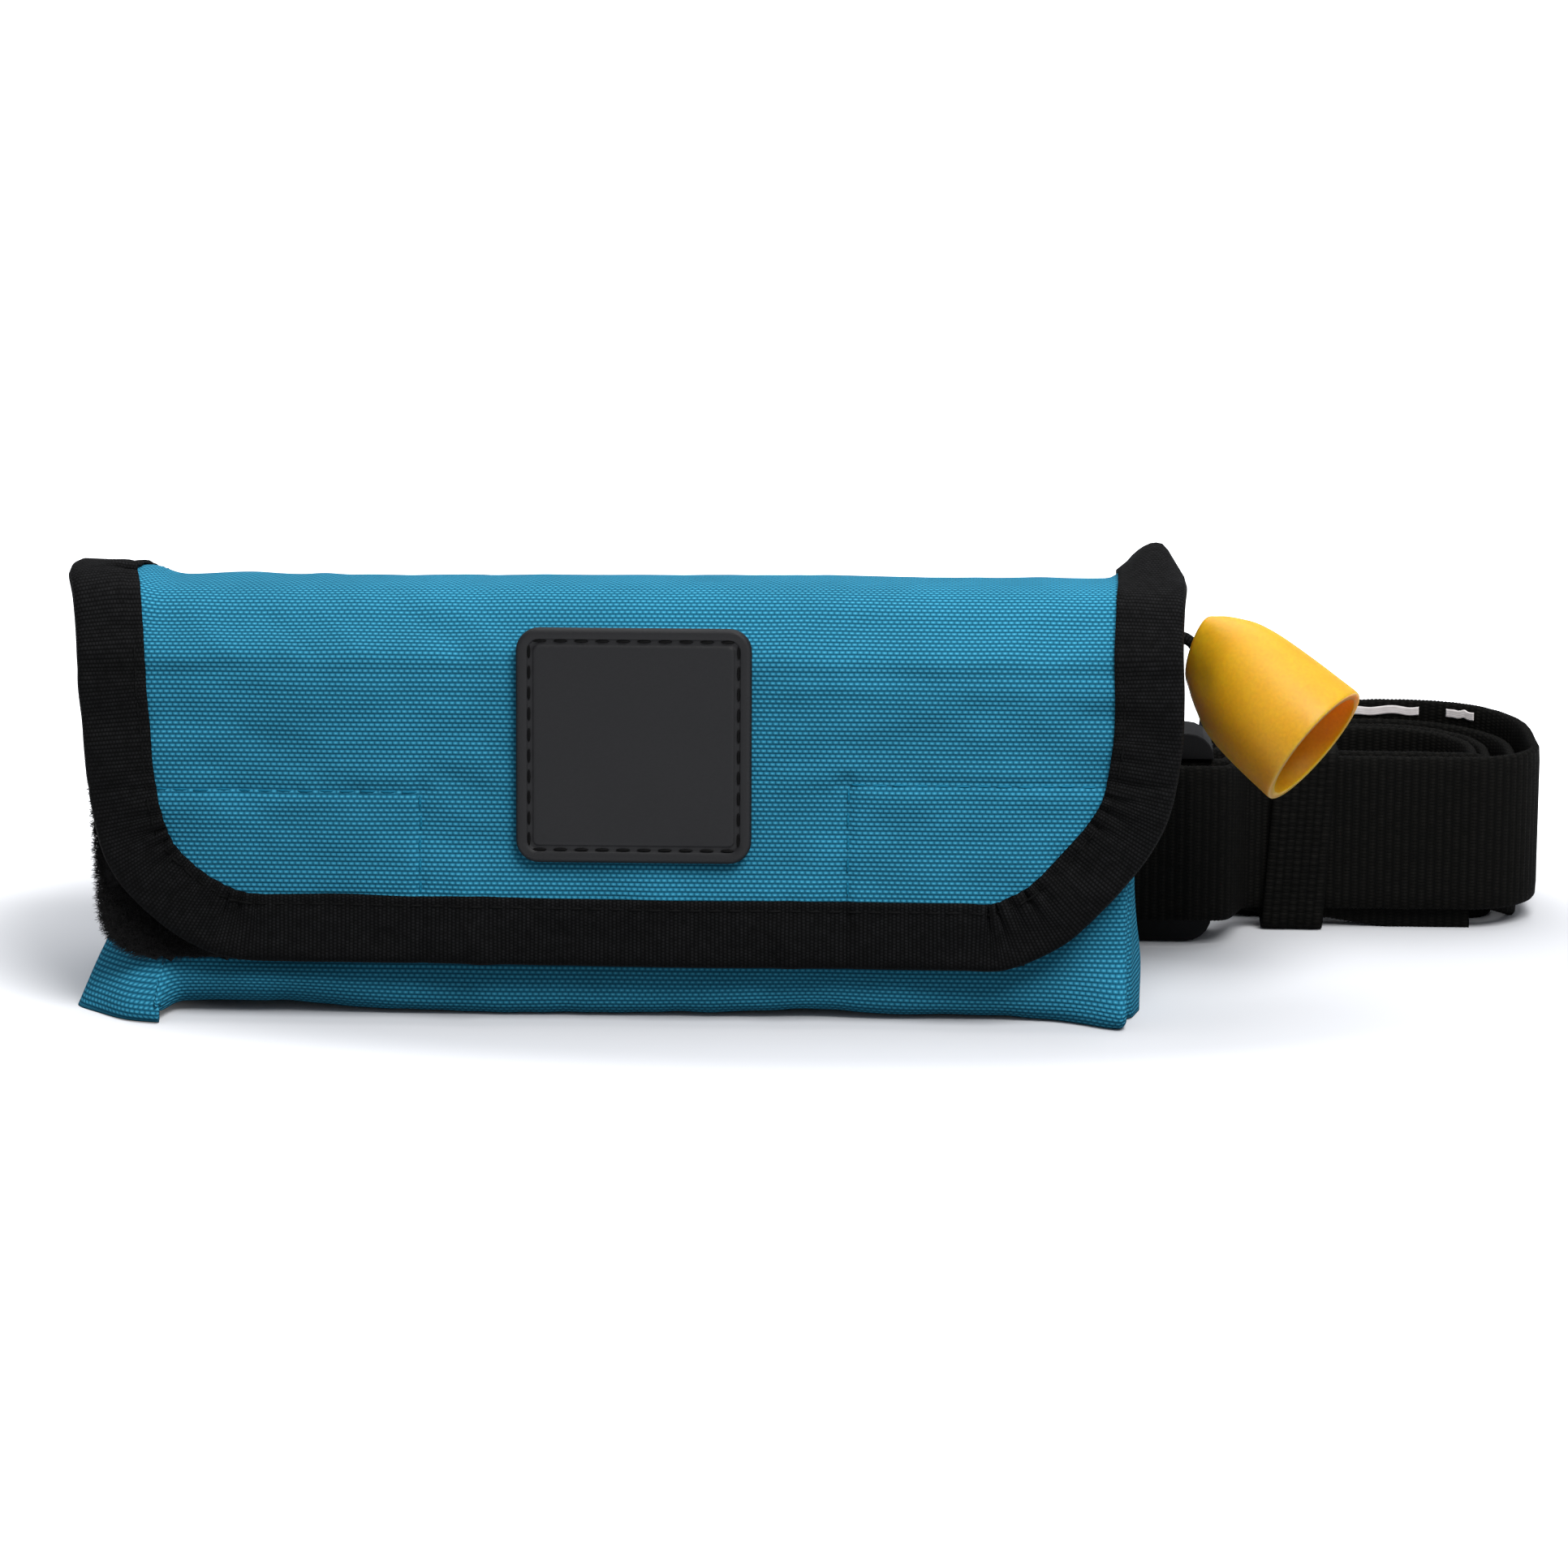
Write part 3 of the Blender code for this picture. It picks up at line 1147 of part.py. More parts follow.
def make_cord(tip_x, tip_z):
    """Pull cord from the lever's eye, out under the flap, into the toggle."""
    start = Vector(TOGGLE_START)
    way = (Vector(TOGGLE_MOUTH) - start).normalized()
    knot = start + way * (TOGGLE_WALL + KNOT_RADIUS + SEAT)
    front = GAS_Y - LEVER_THICK / 2
    back = GAS_Y + LEVER_THICK / 2
    knot_y = front - SEAT - KNOT_RADIUS
    points = [(tip_x, front, tip_z), (tip_x, GAS_Y, tip_z), (tip_x, back, tip_z),
              (tip_x, back + CORD_RADIUS, tip_z),
              (tip_x + LEVER_TIP / 3, back + CORD_RADIUS + LEVER_THICK / 2, tip_z + LEVER_TIP / 3),
              (tip_x + LEVER_TIP, back + LEVER_TIP, tip_z + LEVER_TIP),
              ((tip_x + PIVOT_X) / 2 + LEVER_TIP, GAS_Y + LEVER_TIP, tip_z + LEVER_TIP)]
    points += [(PIVOT_X + (CORD_EXIT[0] - PIVOT_X) * share, GAS_Y * (1 - share), CORD_EXIT[2])
               for share in CORD_RUN_SHARES]
    points += [CORD_EXIT, tuple(start - way * SEAT),
               tuple(knot - way * (KNOT_RADIUS + SEAT + RUNNING))]
    tube("trigger_cord", eased(points, 6), CORD_RADIUS, BLACK_WEB)
    for name, middle in (("cord_knot", knot), ("lever_knot", (tip_x, knot_y, tip_z))):
        data = bmesh.new()
        bmesh.ops.create_uvsphere(data, u_segments=16, v_segments=10, radius=KNOT_RADIUS)
        bmesh.ops.translate(data, vec=middle, verts=data.verts)
        smooth(mesh_object(name, data, BLACK_WEB))


def make_toggle():
    """Hollow soft moulded toggle: a round mouth that narrows to a pinched end."""
    start, mouth = Vector(TOGGLE_START), Vector(TOGGLE_MOUTH)
    length = (mouth - start).length
    outer = [(TOGGLE_RADIUS * r, length * h)
             for r, h in zip(TOGGLE_RADIUS_SHARES, TOGGLE_HEIGHT_SHARES)]
    inner = [(max(radius - TOGGLE_WALL, CORD_HOLE), max(height, TOGGLE_WALL))
             for radius, height in outer]
    inner[0] = (CORD_HOLE, TOGGLE_WALL)
    outer[0] = (CORD_HOLE, 0)
    inner[-1] = (TOGGLE_RADIUS - TOGGLE_WALL, length)
    inner = [point for number, point in enumerate(inner) if number == 0 or point[0] > CORD_HOLE]
    loop = outer + list(reversed(inner))
    data = bmesh.new()
    verts = [data.verts.new((radius, 0, height)) for radius, height in loop]
    edges = [data.edges.new((verts[i], verts[(i + 1) % len(verts)])) for i in range(len(verts))]
    bmesh.ops.spin(data, geom=verts + edges, axis=(0, 0, 1), cent=(0, 0, 0), steps=SIDES,
                   angle=360 * DEG, use_merge=True)
    bmesh.ops.remove_doubles(data, verts=data.verts, dist=WELD)
    for vert in data.verts:
        near = max(0, 1 - vert.co.z / length)
        if math.hypot(vert.co.x, vert.co.y) > 2 * CORD_HOLE:
            vert.co.z -= TOGGLE_SKEW_SHARE * vert.co.y * near
            vert.co.x *= 1 - TOGGLE_PINCH_SHARE * near ** 2
    bmesh.ops.recalc_face_normals(data, faces=data.faces)
    toggle = mesh_object("toggle", data, YELLOW)
    pivot = frame("toggle_axis", start)
    toggle.rotation_euler = (mouth - start).to_track_quat("Z", "Y").to_euler()
    carry(pivot, toggle)
    return smooth(toggle)


make_wrap()
make_gusset("gusset_left", POUCH_LEFT, -1, EAR_LEFT)
make_gusset("gusset_right", POUCH_RIGHT, 1, EAR_RIGHT)
make_loop_strip()
make_belt_loop("belt_loop_left", -BELT_LOOP_X)
make_belt_loop("belt_loop_right", BELT_LOOP_X)
make_front_flap()
make_top_flap()
make_belt()
make_keeper()
make_buckle()
make_cartridge()
make_inflator()
LEVER_EYE = make_lever()
make_pierce_pin()
make_buoy()
make_oral_valve()
make_tether()
make_cord(*LEVER_EYE)
make_toggle()
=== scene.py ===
# %% [markdown]
# # An inflatable safety buoy in its waist pouch
#
# A swimmer wears this small pouch on a belt. Pulling the yellow toggle fills a buoy that lies
# folded inside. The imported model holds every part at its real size. This script puts cloth,
# webbing, stitches and finishes over it, and never moves a part of it.

# %% Load the frame
import json
import math
import random
from bisect import bisect_right

import bmesh
import bpy
from mathutils import Matrix, Vector, noise
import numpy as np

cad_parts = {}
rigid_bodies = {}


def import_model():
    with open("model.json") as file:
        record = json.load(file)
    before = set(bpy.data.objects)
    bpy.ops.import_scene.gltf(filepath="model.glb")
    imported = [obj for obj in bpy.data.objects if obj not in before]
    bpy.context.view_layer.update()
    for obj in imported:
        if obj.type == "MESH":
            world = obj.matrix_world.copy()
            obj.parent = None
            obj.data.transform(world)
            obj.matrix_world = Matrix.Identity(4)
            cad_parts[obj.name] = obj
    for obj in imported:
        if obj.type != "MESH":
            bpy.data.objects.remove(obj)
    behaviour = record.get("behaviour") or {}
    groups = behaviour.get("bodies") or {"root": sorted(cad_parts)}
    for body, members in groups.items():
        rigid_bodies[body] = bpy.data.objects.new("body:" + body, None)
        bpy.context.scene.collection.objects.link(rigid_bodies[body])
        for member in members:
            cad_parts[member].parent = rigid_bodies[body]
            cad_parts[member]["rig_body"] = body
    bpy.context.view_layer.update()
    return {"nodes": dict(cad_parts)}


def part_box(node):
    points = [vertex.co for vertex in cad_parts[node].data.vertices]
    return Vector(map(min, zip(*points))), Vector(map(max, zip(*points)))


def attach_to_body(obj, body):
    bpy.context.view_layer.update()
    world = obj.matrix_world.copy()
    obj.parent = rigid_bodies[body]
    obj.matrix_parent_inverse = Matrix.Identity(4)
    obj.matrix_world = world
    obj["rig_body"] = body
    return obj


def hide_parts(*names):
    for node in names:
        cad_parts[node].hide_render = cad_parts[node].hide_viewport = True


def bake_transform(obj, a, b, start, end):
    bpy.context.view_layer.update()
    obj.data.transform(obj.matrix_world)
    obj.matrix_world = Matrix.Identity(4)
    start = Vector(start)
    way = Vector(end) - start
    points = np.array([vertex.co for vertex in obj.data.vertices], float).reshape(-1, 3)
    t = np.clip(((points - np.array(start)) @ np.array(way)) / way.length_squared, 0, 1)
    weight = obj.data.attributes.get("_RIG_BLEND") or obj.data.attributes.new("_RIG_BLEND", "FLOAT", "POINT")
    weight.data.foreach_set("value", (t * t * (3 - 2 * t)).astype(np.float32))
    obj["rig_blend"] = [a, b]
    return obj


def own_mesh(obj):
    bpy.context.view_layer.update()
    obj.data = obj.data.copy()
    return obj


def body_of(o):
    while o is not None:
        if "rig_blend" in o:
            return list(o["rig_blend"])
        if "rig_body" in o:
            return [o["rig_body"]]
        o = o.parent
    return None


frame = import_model()

# %% [markdown]
# ## Units, colours, nodes and bodies
#
# The scene is in metres, and every size below is written in millimetres. A colour is written as
# the hex value that a colour picker shows on a photograph, and one function turns it into linear
# light. Another adds a node, sets its properties and fills or links its sockets. The last one ties
# a finished piece to the body that it moves with.

# %% Small helpers
MM = 0.001
DEG = math.pi / 180


def colour(hex_value):
    """Linear red, green, blue and alpha of an sRGB hex value such as 2A84A6."""
    channels = [int(hex_value[start:start + 2], 16) / 255 for start in (0, 2, 4)]
    linear = [c / 12.92 if c <= 0.04045 else ((c + 0.055) / 1.055) ** 2.4 for c in channels]
    return (*linear, 1)


def put(tree, kind, sockets=(), **settings):
    """Add a shader node; a socket's value may be another node's output."""
    made = tree.nodes.new("ShaderNode" + kind)
    for name, value in settings.items():
        setattr(made, name, value)
    for socket, value in dict(sockets).items():
        if isinstance(value, bpy.types.NodeSocket):
            tree.links.new(value, made.inputs[socket])
        else:
            made.inputs[socket].default_value = value
    return made


def finish(name, **sockets):
    """A new material, with its node tree and its Principled shader."""
    made = bpy.data.materials.new(name)
    made.use_nodes = True
    shader = made.node_tree.nodes["Principled BSDF"]
    for socket, value in sockets.items():
        shader.inputs[socket.replace("_", " ")].default_value = value
    return made, made.node_tree, shader


def ramp(tree, source, *stops):
    """A colour ramp over a socket: stops are (position, hex value)."""
    made = put(tree, "ValToRGB", {0: source})
    made.color_ramp.elements[0].position = stops[0][0]
    made.color_ramp.elements[0].color = colour(stops[0][1])
    made.color_ramp.elements[1].position = stops[-1][0]
    made.color_ramp.elements[1].color = colour(stops[-1][1])
    for position, hex_value in stops[1:-1]:
        made.color_ramp.elements.new(position).color = colour(hex_value)
    return made.outputs[0]


def dress(shader, base, height, depth, strength=1.0, gloss=None):
    """Link a colour, a relief of a depth in millimetres and a roughness to a shader."""
    relief = put(shader.id_data, "Bump", {"Height": height, "Distance": depth * MM,
                                          "Strength": strength})
    for socket, source in (("Base Color", base), ("Roughness", gloss),
                           ("Normal", relief.outputs[0])):
        if source:
            shader.id_data.links.new(source, shader.inputs[socket])


def speckle(tree, scale, detail):
    """Noise over the piece's own coordinates."""
    where = put(tree, "TexCoord")
    return put(tree, "TexNoise", {"Vector": where.outputs["Object"], "Scale": scale,
                                  "Detail": detail}).outputs[0]


def tinted(tree, base, source, low, high, dark, light):
    """A colour made darker and lighter as a source goes from low to high."""
    shade = put(tree, "MapRange", {0: source, 1: low, 2: high, 3: dark, 4: light})
    return put(tree, "Mix", {0: 1.0, 6: base, 7: shade.outputs[0]}, data_type="RGBA",
               blend_type="MULTIPLY").outputs[2]


def show(name, data):
    """Put a new object with this data in the scene."""
    made = bpy.data.objects.new(name, data)
    bpy.context.scene.collection.objects.link(made)
    return made


def attach(piece, body, node=None):
    """Tie a piece to a body, or across the fold between two, and hide the imported part it replaces."""
    if isinstance(body, str):
        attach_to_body(piece, body)
    else:
        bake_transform(piece, *body[:2], start=body[2], end=body[3])
    if node:
        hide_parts(node)
    return piece


print("helpers ready")

# %% [markdown]
# ## Camera
#
# The photograph was taken from a little above and a touch to the right. Lines that run away from
# the viewer shrink only slightly, so the lens is long and the camera stands well back. Where the
# badge's square and the belt's 25 mm webbing fall in the picture settled the rest.

# %% Camera at the photograph's angle
CAMERA_AZIMUTH = 2.5 * DEG
CAMERA_ELEVATION = 13 * DEG
CAMERA_DISTANCE = 800 * MM
CAMERA_AIM = Vector((23.7, -21, 36.5)) * MM
PICTURE_PIXELS = 1932
FOCAL_PIXELS = 6560

lens = bpy.data.cameras.new("camera")
lens.sensor_width = 36
lens.lens = lens.sensor_width * FOCAL_PIXELS / PICTURE_PIXELS
lens.clip_start = 10 * MM
camera = show("camera", lens)
back = Vector((math.sin(CAMERA_AZIMUTH) * math.cos(CAMERA_ELEVATION),
               -math.cos(CAMERA_AZIMUTH) * math.cos(CAMERA_ELEVATION),
               math.sin(CAMERA_ELEVATION)))
camera.location = CAMERA_AIM + back * CAMERA_DISTANCE
camera.rotation_euler = back.to_track_quat("Z", "Y").to_euler()
bpy.context.scene.camera = camera
print("camera", [round(value, 4) for value in camera.location], "lens %.1f mm" % lens.lens)

# %% [markdown]
# ## Floor and light
#
# The object stands on white paper under two large softboxes: one overhead, one high in front on
# the right. The paper is matt, so it keeps the object's shadow. Beyond an oval round the object a
# glow that only the camera and reflections see takes over, so the picture ends in plain white.

# %% Floor
FLOOR_HALF = 3000 * MM

sweep = bmesh.new()
bmesh.ops.create_grid(sweep, x_segments=2, y_segments=2, size=FLOOR_HALF)
floor_mesh = bpy.data.meshes.new("floor")
sweep.to_mesh(floor_mesh)
sweep.free()
show("floor", floor_mesh)

GLOW_MIDDLE = (29, 26, 0)
GLOW_REACH = (108, 62, 50)
GLOW_NEAR = 1.08
GLOW_FAR = 1.75

paper = bpy.data.materials.new("matt white paper")
paper.use_nodes = True
tree = paper.node_tree
tree.nodes.clear()
path = put(tree, "LightPath")
seen = put(tree, "Math", {0: path.outputs["Is Camera Ray"], 1: path.outputs["Is Glossy Ray"]},
           operation="MAXIMUM")
spot = put(tree, "TexCoord")
round_object = put(tree, "Mapping", {"Vector": spot.outputs["Object"],
                                     "Location": [value * MM for value in GLOW_MIDDLE],
                                     "Scale": [value * MM for value in GLOW_REACH]},
                   vector_type="TEXTURE")
away = put(tree, "VectorMath", {0: round_object.outputs[0]}, operation="LENGTH")
far = put(tree, "MapRange", {0: away.outputs["Value"], 1: GLOW_NEAR, 2: GLOW_FAR, 3: 0.0, 4: 1.0},
          interpolation_type="SMOOTHSTEP")
matt = put(tree, "BsdfDiffuse", {"Color": colour("D2D3D6")})
dull = put(tree, "BsdfDiffuse", {"Color": colour("808284")})
glow = put(tree, "Emission", {"Color": colour("FFFFFF"), "Strength": far.outputs[0]})
lit = put(tree, "AddShader", {0: matt.outputs[0], 1: glow.outputs[0]})
only = put(tree, "MixShader", {0: seen.outputs[0], 1: dull.outputs[0], 2: lit.outputs[0]})
put(tree, "OutputMaterial", {"Surface": only.outputs[0]})
floor_mesh.materials.append(paper)
print("floor", FLOOR_HALF * 2, "m wide")

# %% Studio light
KEY_WATTS = 3.1
FRONT_WATTS = 6.0
SKY_LEVEL = 0.45

for name, place, aim, size, watts in (
        ("overhead softbox", (40, 240, 620), (20, 10, 0), 700, KEY_WATTS),
        ("front softbox", (260, -400, 640), (20, 0, 30), 420, FRONT_WATTS)):
    lamp = bpy.data.lights.new(name, "AREA")
    lamp.shape = "DISK"
    lamp.size = size * MM
    lamp.energy = watts
    holder = show(name, lamp)
    holder.location = Vector(place) * MM
    holder.rotation_euler = (Vector(place) - Vector(aim)).to_track_quat("Z", "Y").to_euler()

world = bpy.data.worlds.new("studio")
bpy.context.scene.world = world
world.use_nodes = True
tree = world.node_tree
tree.nodes.clear()
path = put(tree, "LightPath")
soft = put(tree, "Background", {"Color": colour("F4F8FF"), "Strength": SKY_LEVEL})
white = put(tree, "Background", {"Color": colour("FFFFFF"), "Strength": 1.0})
blend_sky = put(tree, "MixShader", {0: path.outputs["Is Camera Ray"], 1: soft.outputs[0],
                                    2: white.outputs[0]})
put(tree, "OutputWorld", {"Surface": blend_sky.outputs[0]})
bpy.context.scene.view_settings.view_transform = "Standard"
print("lamps ready")

# %% [markdown]
# ## Oxford cloth
#
# The pouch is 600 denier polyester in a plain Oxford weave. Each weft yarn shows as a row of short
# floats, 0.68 mm from row to row and 0.9 mm from float to float, each row shifted by half a float,
# with painted highlight on the floats and painted shade in the gaps. The pattern reads the piece's
# own UV map, which holds millimetres on the cloth, so it follows the cloth round every fold.

# %% Teal Oxford polyester
WEAVE_ROW = 0.68
WEAVE_FLOAT = 0.90


def weave(tree, row_pitch, float_pitch, stagger=0.5):
    """Height of a plain weave, 0 in the gaps and 1 on a float, from a UV map in millimetres."""
    uv = put(tree, "UVMap", uv_map="cloth")
    split = put(tree, "SeparateXYZ", {0: uv.outputs[0]})
    rows = put(tree, "Math", {0: split.outputs[1], 1: row_pitch}, operation="DIVIDE")
    number = put(tree, "Math", {0: rows.outputs[0]}, operation="FLOOR")
    shift = put(tree, "Math", {0: number.outputs[0], 1: stagger}, operation="MULTIPLY")
    across = put(tree, "Math", {0: split.outputs[0], 1: float_pitch}, operation="DIVIDE")
    moved = put(tree, "Math", {0: across.outputs[0], 1: shift.outputs[0]}, operation="ADD")
    waves = []
    for source in (rows, moved):
        turns = put(tree, "Math", {0: source.outputs[0], 1: math.pi}, operation="MULTIPLY")
        wave = put(tree, "Math", {0: turns.outputs[0]}, operation="SINE")
        waves.append(put(tree, "Math", {0: wave.outputs[0]}, operation="ABSOLUTE"))
    ends = put(tree, "Math", {0: waves[1].outputs[0], 1: 0.45}, operation="POWER")
    return put(tree, "Math", {0: waves[0].outputs[0], 1: ends.outputs[0]},
               operation="MULTIPLY").outputs[0]


oxford, tree, shader = finish("woven polyester oxford", Roughness=0.85, IOR=1.5,
                              Specular_IOR_Level=0.05)
height = weave(tree, WEAVE_ROW, WEAVE_FLOAT)
# Dark stops in the weave's gaps are painted shade, light stops on the floats painted highlight.
base = ramp(tree, height, (0.0, "144A61"), (0.55, "257391"), (0.9, "378EAE"), (1.0, "54ACC8"))
dress(shader, tinted(tree, base, speckle(tree, 55.0, 4.0), 0.3, 0.7, 0.90, 1.08), height, 0.16,
      0.85)
print("oxford: rows every", WEAVE_ROW, "mm")

# %% [markdown]
# ## Black tape, webbing and pile
#
# The binding is ribbed grosgrain tape: fine ribs run across it. The belt is heavier webbing whose
# ribs, 1.34 mm apart, are modelled, with painted shade in the gaps between them. The loop side
# of the closure is a brushed pile. Black cloth is never quite black: its yarns are dark grey.

# %% Black textiles
TAPE_RIB = 0.62
TAPE_YARN = 0.5
WEB_RIB = 1.34
WEB_YARN = 0.55


def black_cloth(name, dark, light, rib, yarn, deep, rough):
    """A matt woven cloth: painted shade in the gaps, painted highlight on the yarns, and stray lint."""
    made, tree, shader = finish(name, Roughness=rough, IOR=1.5, Specular_IOR_Level=0.06)
    height = weave(tree, rib, yarn)
    # Dark in the gaps and light on the yarns: painted shade and painted highlight; the noise adds stray
    # lint.
    gap_shade_and_lint = put(tree, "Math", {0: height, 1: speckle(tree, 900.0, 2.0)}, operation="MULTIPLY")
    dress(shader, ramp(tree, gap_shade_and_lint.outputs[0], (0.1, dark), (0.75, light)), height, deep, 0.8)
    return made


grosgrain = black_cloth("woven grosgrain tape", "060606", "1E1E1F", TAPE_RIB, TAPE_YARN, 0.14,
                        0.85)
webbing = black_cloth("woven polypropylene webbing", "060605", "171614", WEB_RIB, WEB_YARN, 0.12,
                      0.8)
braid = black_cloth("braided polyester cord", "080808", "232324", 0.55, 0.55, 0.12, 0.75)

pile, tree, shader = finish("brushed nylon pile", Roughness=0.95, IOR=1.5,
                            Specular_IOR_Level=0.2)
tufts = speckle(tree, 1400.0, 3.0)
dress(shader, ramp(tree, tufts, (0.3, "0A0A0A"), (0.7, "242323")), tufts, 0.4)
print("black cloths:", grosgrain.name, webbing.name, braid.name, pile.name)

# %% [markdown]
# ## Moulded and metal finishes
#
# The badge is soft moulded rubber with a fine matt grain. The toggle is soft yellow plastic that
# lets a little light through, so its shadows turn orange. The buckle and the valve are moulded
# acetal and nylon, and the cartridge is drawn steel with a zinc coat.

# %% Mouldings and metals
def moulded(name, hex_value, rough, grain, depth, **sockets):
    """A moulded plastic or rubber: one colour, slightly uneven, with a fine spark-eroded grain."""
    made, tree, shader = finish(name, IOR=1.47, **sockets)
    fine, broad = speckle(tree, 1000 / grain, 2.0), speckle(tree, 90.0, 3.0)
    both = put(tree, "Math", {0: fine, 1: broad}, operation="ADD")
    base = tinted(tree, colour(hex_value), both.outputs[0], 0.6, 1.4, 0.86, 1.10)
    gloss = put(tree, "MapRange", {0: broad, 1: 0.3, 2: 0.7, 3: rough - 0.04, 4: rough + 0.06})
    dress(shader, base, fine, depth, gloss=gloss.outputs[0])
    return made


badge_rubber = moulded("moulded soft rubber", "121214", 0.58, 0.35, 0.03,
                       Specular_IOR_Level=0.3)
soft_yellow = moulded("soft yellow polyethylene", "DD9F16", 0.45, 0.5, 0.015,
                      Specular_IOR_Level=0.35, Subsurface_Weight=1.0,
                      Subsurface_Radius=(1.0, 0.5, 0.08), Subsurface_Scale=5 * MM)
acetal = moulded("moulded black acetal", "0A0A0B", 0.55, 0.4, 0.02, Specular_IOR_Level=0.12)
nylon = moulded("moulded grey nylon", "3A3B3E", 0.45, 0.4, 0.02)
nitrile = moulded("nitrile rubber", "151515", 0.65, 0.4, 0.02)


def metal(name, hex_value, rough, stretch):
    """A metal with fine scratches drawn out along the X axis."""
    made, tree, shader = finish(name, Metallic=1.0)
    shader.inputs["Base Color"].default_value = colour(hex_value)
    where = put(tree, "TexCoord")
    along = put(tree, "Mapping", {"Vector": where.outputs["Object"], "Scale": stretch})
    lines = put(tree, "TexNoise", {"Vector": along.outputs[0], "Scale": 900.0, "Detail": 3.0})
    gloss = put(tree, "MapRange", {0: lines.outputs[0], 1: 0.3, 2: 0.7, 3: rough - 0.08,
                                   4: rough + 0.1})
    dress(shader, None, lines.outputs[0], 0.01, gloss=gloss.outputs[0])
    return made


stainless = metal("brushed stainless steel", "C4C5C8", 0.28, (0.1, 1.0, 1.0))
zinc = metal("zinc plated steel", "B8B8B2", 0.34, (0.3, 1.0, 1.0))

coated, tree, shader = finish("coated yellow nylon", Roughness=0.42, IOR=1.5, Coat_Weight=0.15,
                              Coat_Roughness=0.3)
height = weave(tree, 0.45, 0.45)
# Dark in the weave's gaps and light on the yarns: painted shade and painted highlight.
dress(shader, ramp(tree, height, (0.0, "D9AA12"), (1.0, "F2C832")), height, 0.04)

teal_thread = black_cloth("teal sewing thread", "166885", "52A8C4", 0.3, 0.3, 0.05, 0.6)
black_thread = black_cloth("black sewing thread", "0A0A0A", "2E2E30", 0.3, 0.3, 0.05, 0.6)
# A pale strip that lies inside the belt's roll.
pale_strip_cloth = black_cloth("pale woven strip", "D6CFCE", "FFFAF9", 0.25, 0.25, 0.03, 0.7)
print("finishes:", len(bpy.data.materials))

# %% [markdown]
# ## Sheets of cloth
#
# Most pieces here are sheets: a grid whose points are carried to their place by a function of two
# shares, each from 0 to 1. Its UV map is written first, in millimetres on the flat cloth. A
# Solidify modifier then gives the cloth its thickness.

# %% A grid carried to its place
def cut(columns, rows, measure):
    """A grid with the flat cloth's millimetres in its UV map."""
    cloth = bmesh.new()
    bmesh.ops.create_grid(cloth, x_segments=columns, y_segments=rows, size=0.5)
    layer = cloth.loops.layers.uv.new("cloth")
    for face in cloth.faces:
        for loop in face.loops:
            loop[layer].uv = measure(loop.vert.co.x + 0.5, loop.vert.co.y + 0.5)
    return cloth


def sheet(name, columns, rows, place, measure, paint, thickness, offset=-1.0):
    """A cloth sheet; place gives a point and measure the flat cloth's millimetres there."""
    cloth = cut(columns, rows, measure)
    for vert in cloth.verts:
        vert.co = place(vert.co.x + 0.5, vert.co.y + 0.5)
    return finished(name, cloth, paint, thickness, offset)


def finished(name, shape, paint, thickness=0.0, offset=-1.0):
    """Turn a bmesh into a smooth object, with a wall in millimetres if one is given."""
    mesh = bpy.data.meshes.new(name)
    shape.to_mesh(mesh)
    shape.free()
    mesh.materials.append(paint)
    mesh.shade_smooth()
    made = show(name, mesh)
    if thickness:
        wall = made.modifiers.new("cloth thickness", "SOLIDIFY")
        wall.thickness = thickness * MM
        wall.offset = offset
    return made


def sealed(name, tube, paint, ends=True):
    """Join a tube's seam, close its two ends and turn it into an object."""
    bmesh.ops.remove_doubles(tube, verts=tube.verts, dist=0.002 * MM)
    if ends:
        open_edges = [edge for edge in tube.edges if edge.is_boundary]
        bmesh.ops.holes_fill(tube, edges=open_edges, sides=0)
    bmesh.ops.recalc_face_normals(tube, faces=tube.faces)
    return finished(name, tube, paint)


def ripple(x, y, z):
    """Smooth noise, from -1 to 1, at a place."""
    return noise.noise(Vector((x, y, z)))


def smoothly(low, high, value):
    """0 below low, 1 above high and a smooth step between them."""
    share = min(1.0, max(0.0, (value - low) / (high - low)))
    return share * share * (3 - 2 * share)


def bump_at(value, middle, width):
    """A bell of height 1 round a middle."""
    return math.exp(-((value - middle) / width) ** 2)


def curve_through(keys, steps):
    """A smooth line through given points, with even steps between them."""
    padded = [keys[0], *keys, keys[-1]]
    line = []
    for first, second, third, fourth in zip(padded, padded[1:], padded[2:], padded[3:]):
        for step in range(steps):
            share = step / steps
            line.append(tuple(
                0.5 * (2 * b + (c - a) * share + (2 * a - 5 * b + 4 * c - d) * share ** 2
                       + (3 * b - a - 3 * c + d) * share ** 3)
                for a, b, c, d in zip(first, second, third, fourth)))
    line.append(tuple(keys[-1]))
    return line


class Track:
    """A line in two dimensions that can be read by its length, in metres."""

    def __init__(self, points):
        self.points = [Vector(point) for point in points]
        self.marks = [0.0]
        for first, second in zip(self.points, self.points[1:]):
            self.marks.append(self.marks[-1] + (second - first).length)
        self.length = self.marks[-1]

    def at(self, distance):
        """The point and the unit direction at a distance along the line."""
        distance = min(max(distance, 0.0), self.length)
        high = min(bisect_right(self.marks, distance), len(self.marks) - 1)
        (start, end), (low, far) = self.points[high - 1:high + 1], self.marks[high - 1:high + 1]
        share = (distance - low) / (far - low) if far > low else 0.0
        return start.lerp(end, share), (end - start).normalized()


print("sheet helpers ready")

# %% [markdown]
# ## The flap's shape
#
# One cloth starts on the back panel, goes over the top and hangs down the front. Its section is a
# line in Y and Z: up the back, forward to the ridge, down to a crease where the contents end, and
# straight down the leaning front. Every piece of the flap reads the same function, so the cloth,
# its tape and its stitches lie on each other.

# %% Section and surface of the flap
LEAN = 6 * DEG
CREST = (-20.4, 62.0)


def front_y(height):
    """Y in millimetres of the leaning front at a height."""
    return CREST[0] - (CREST[1] - height) * math.tan(LEAN)


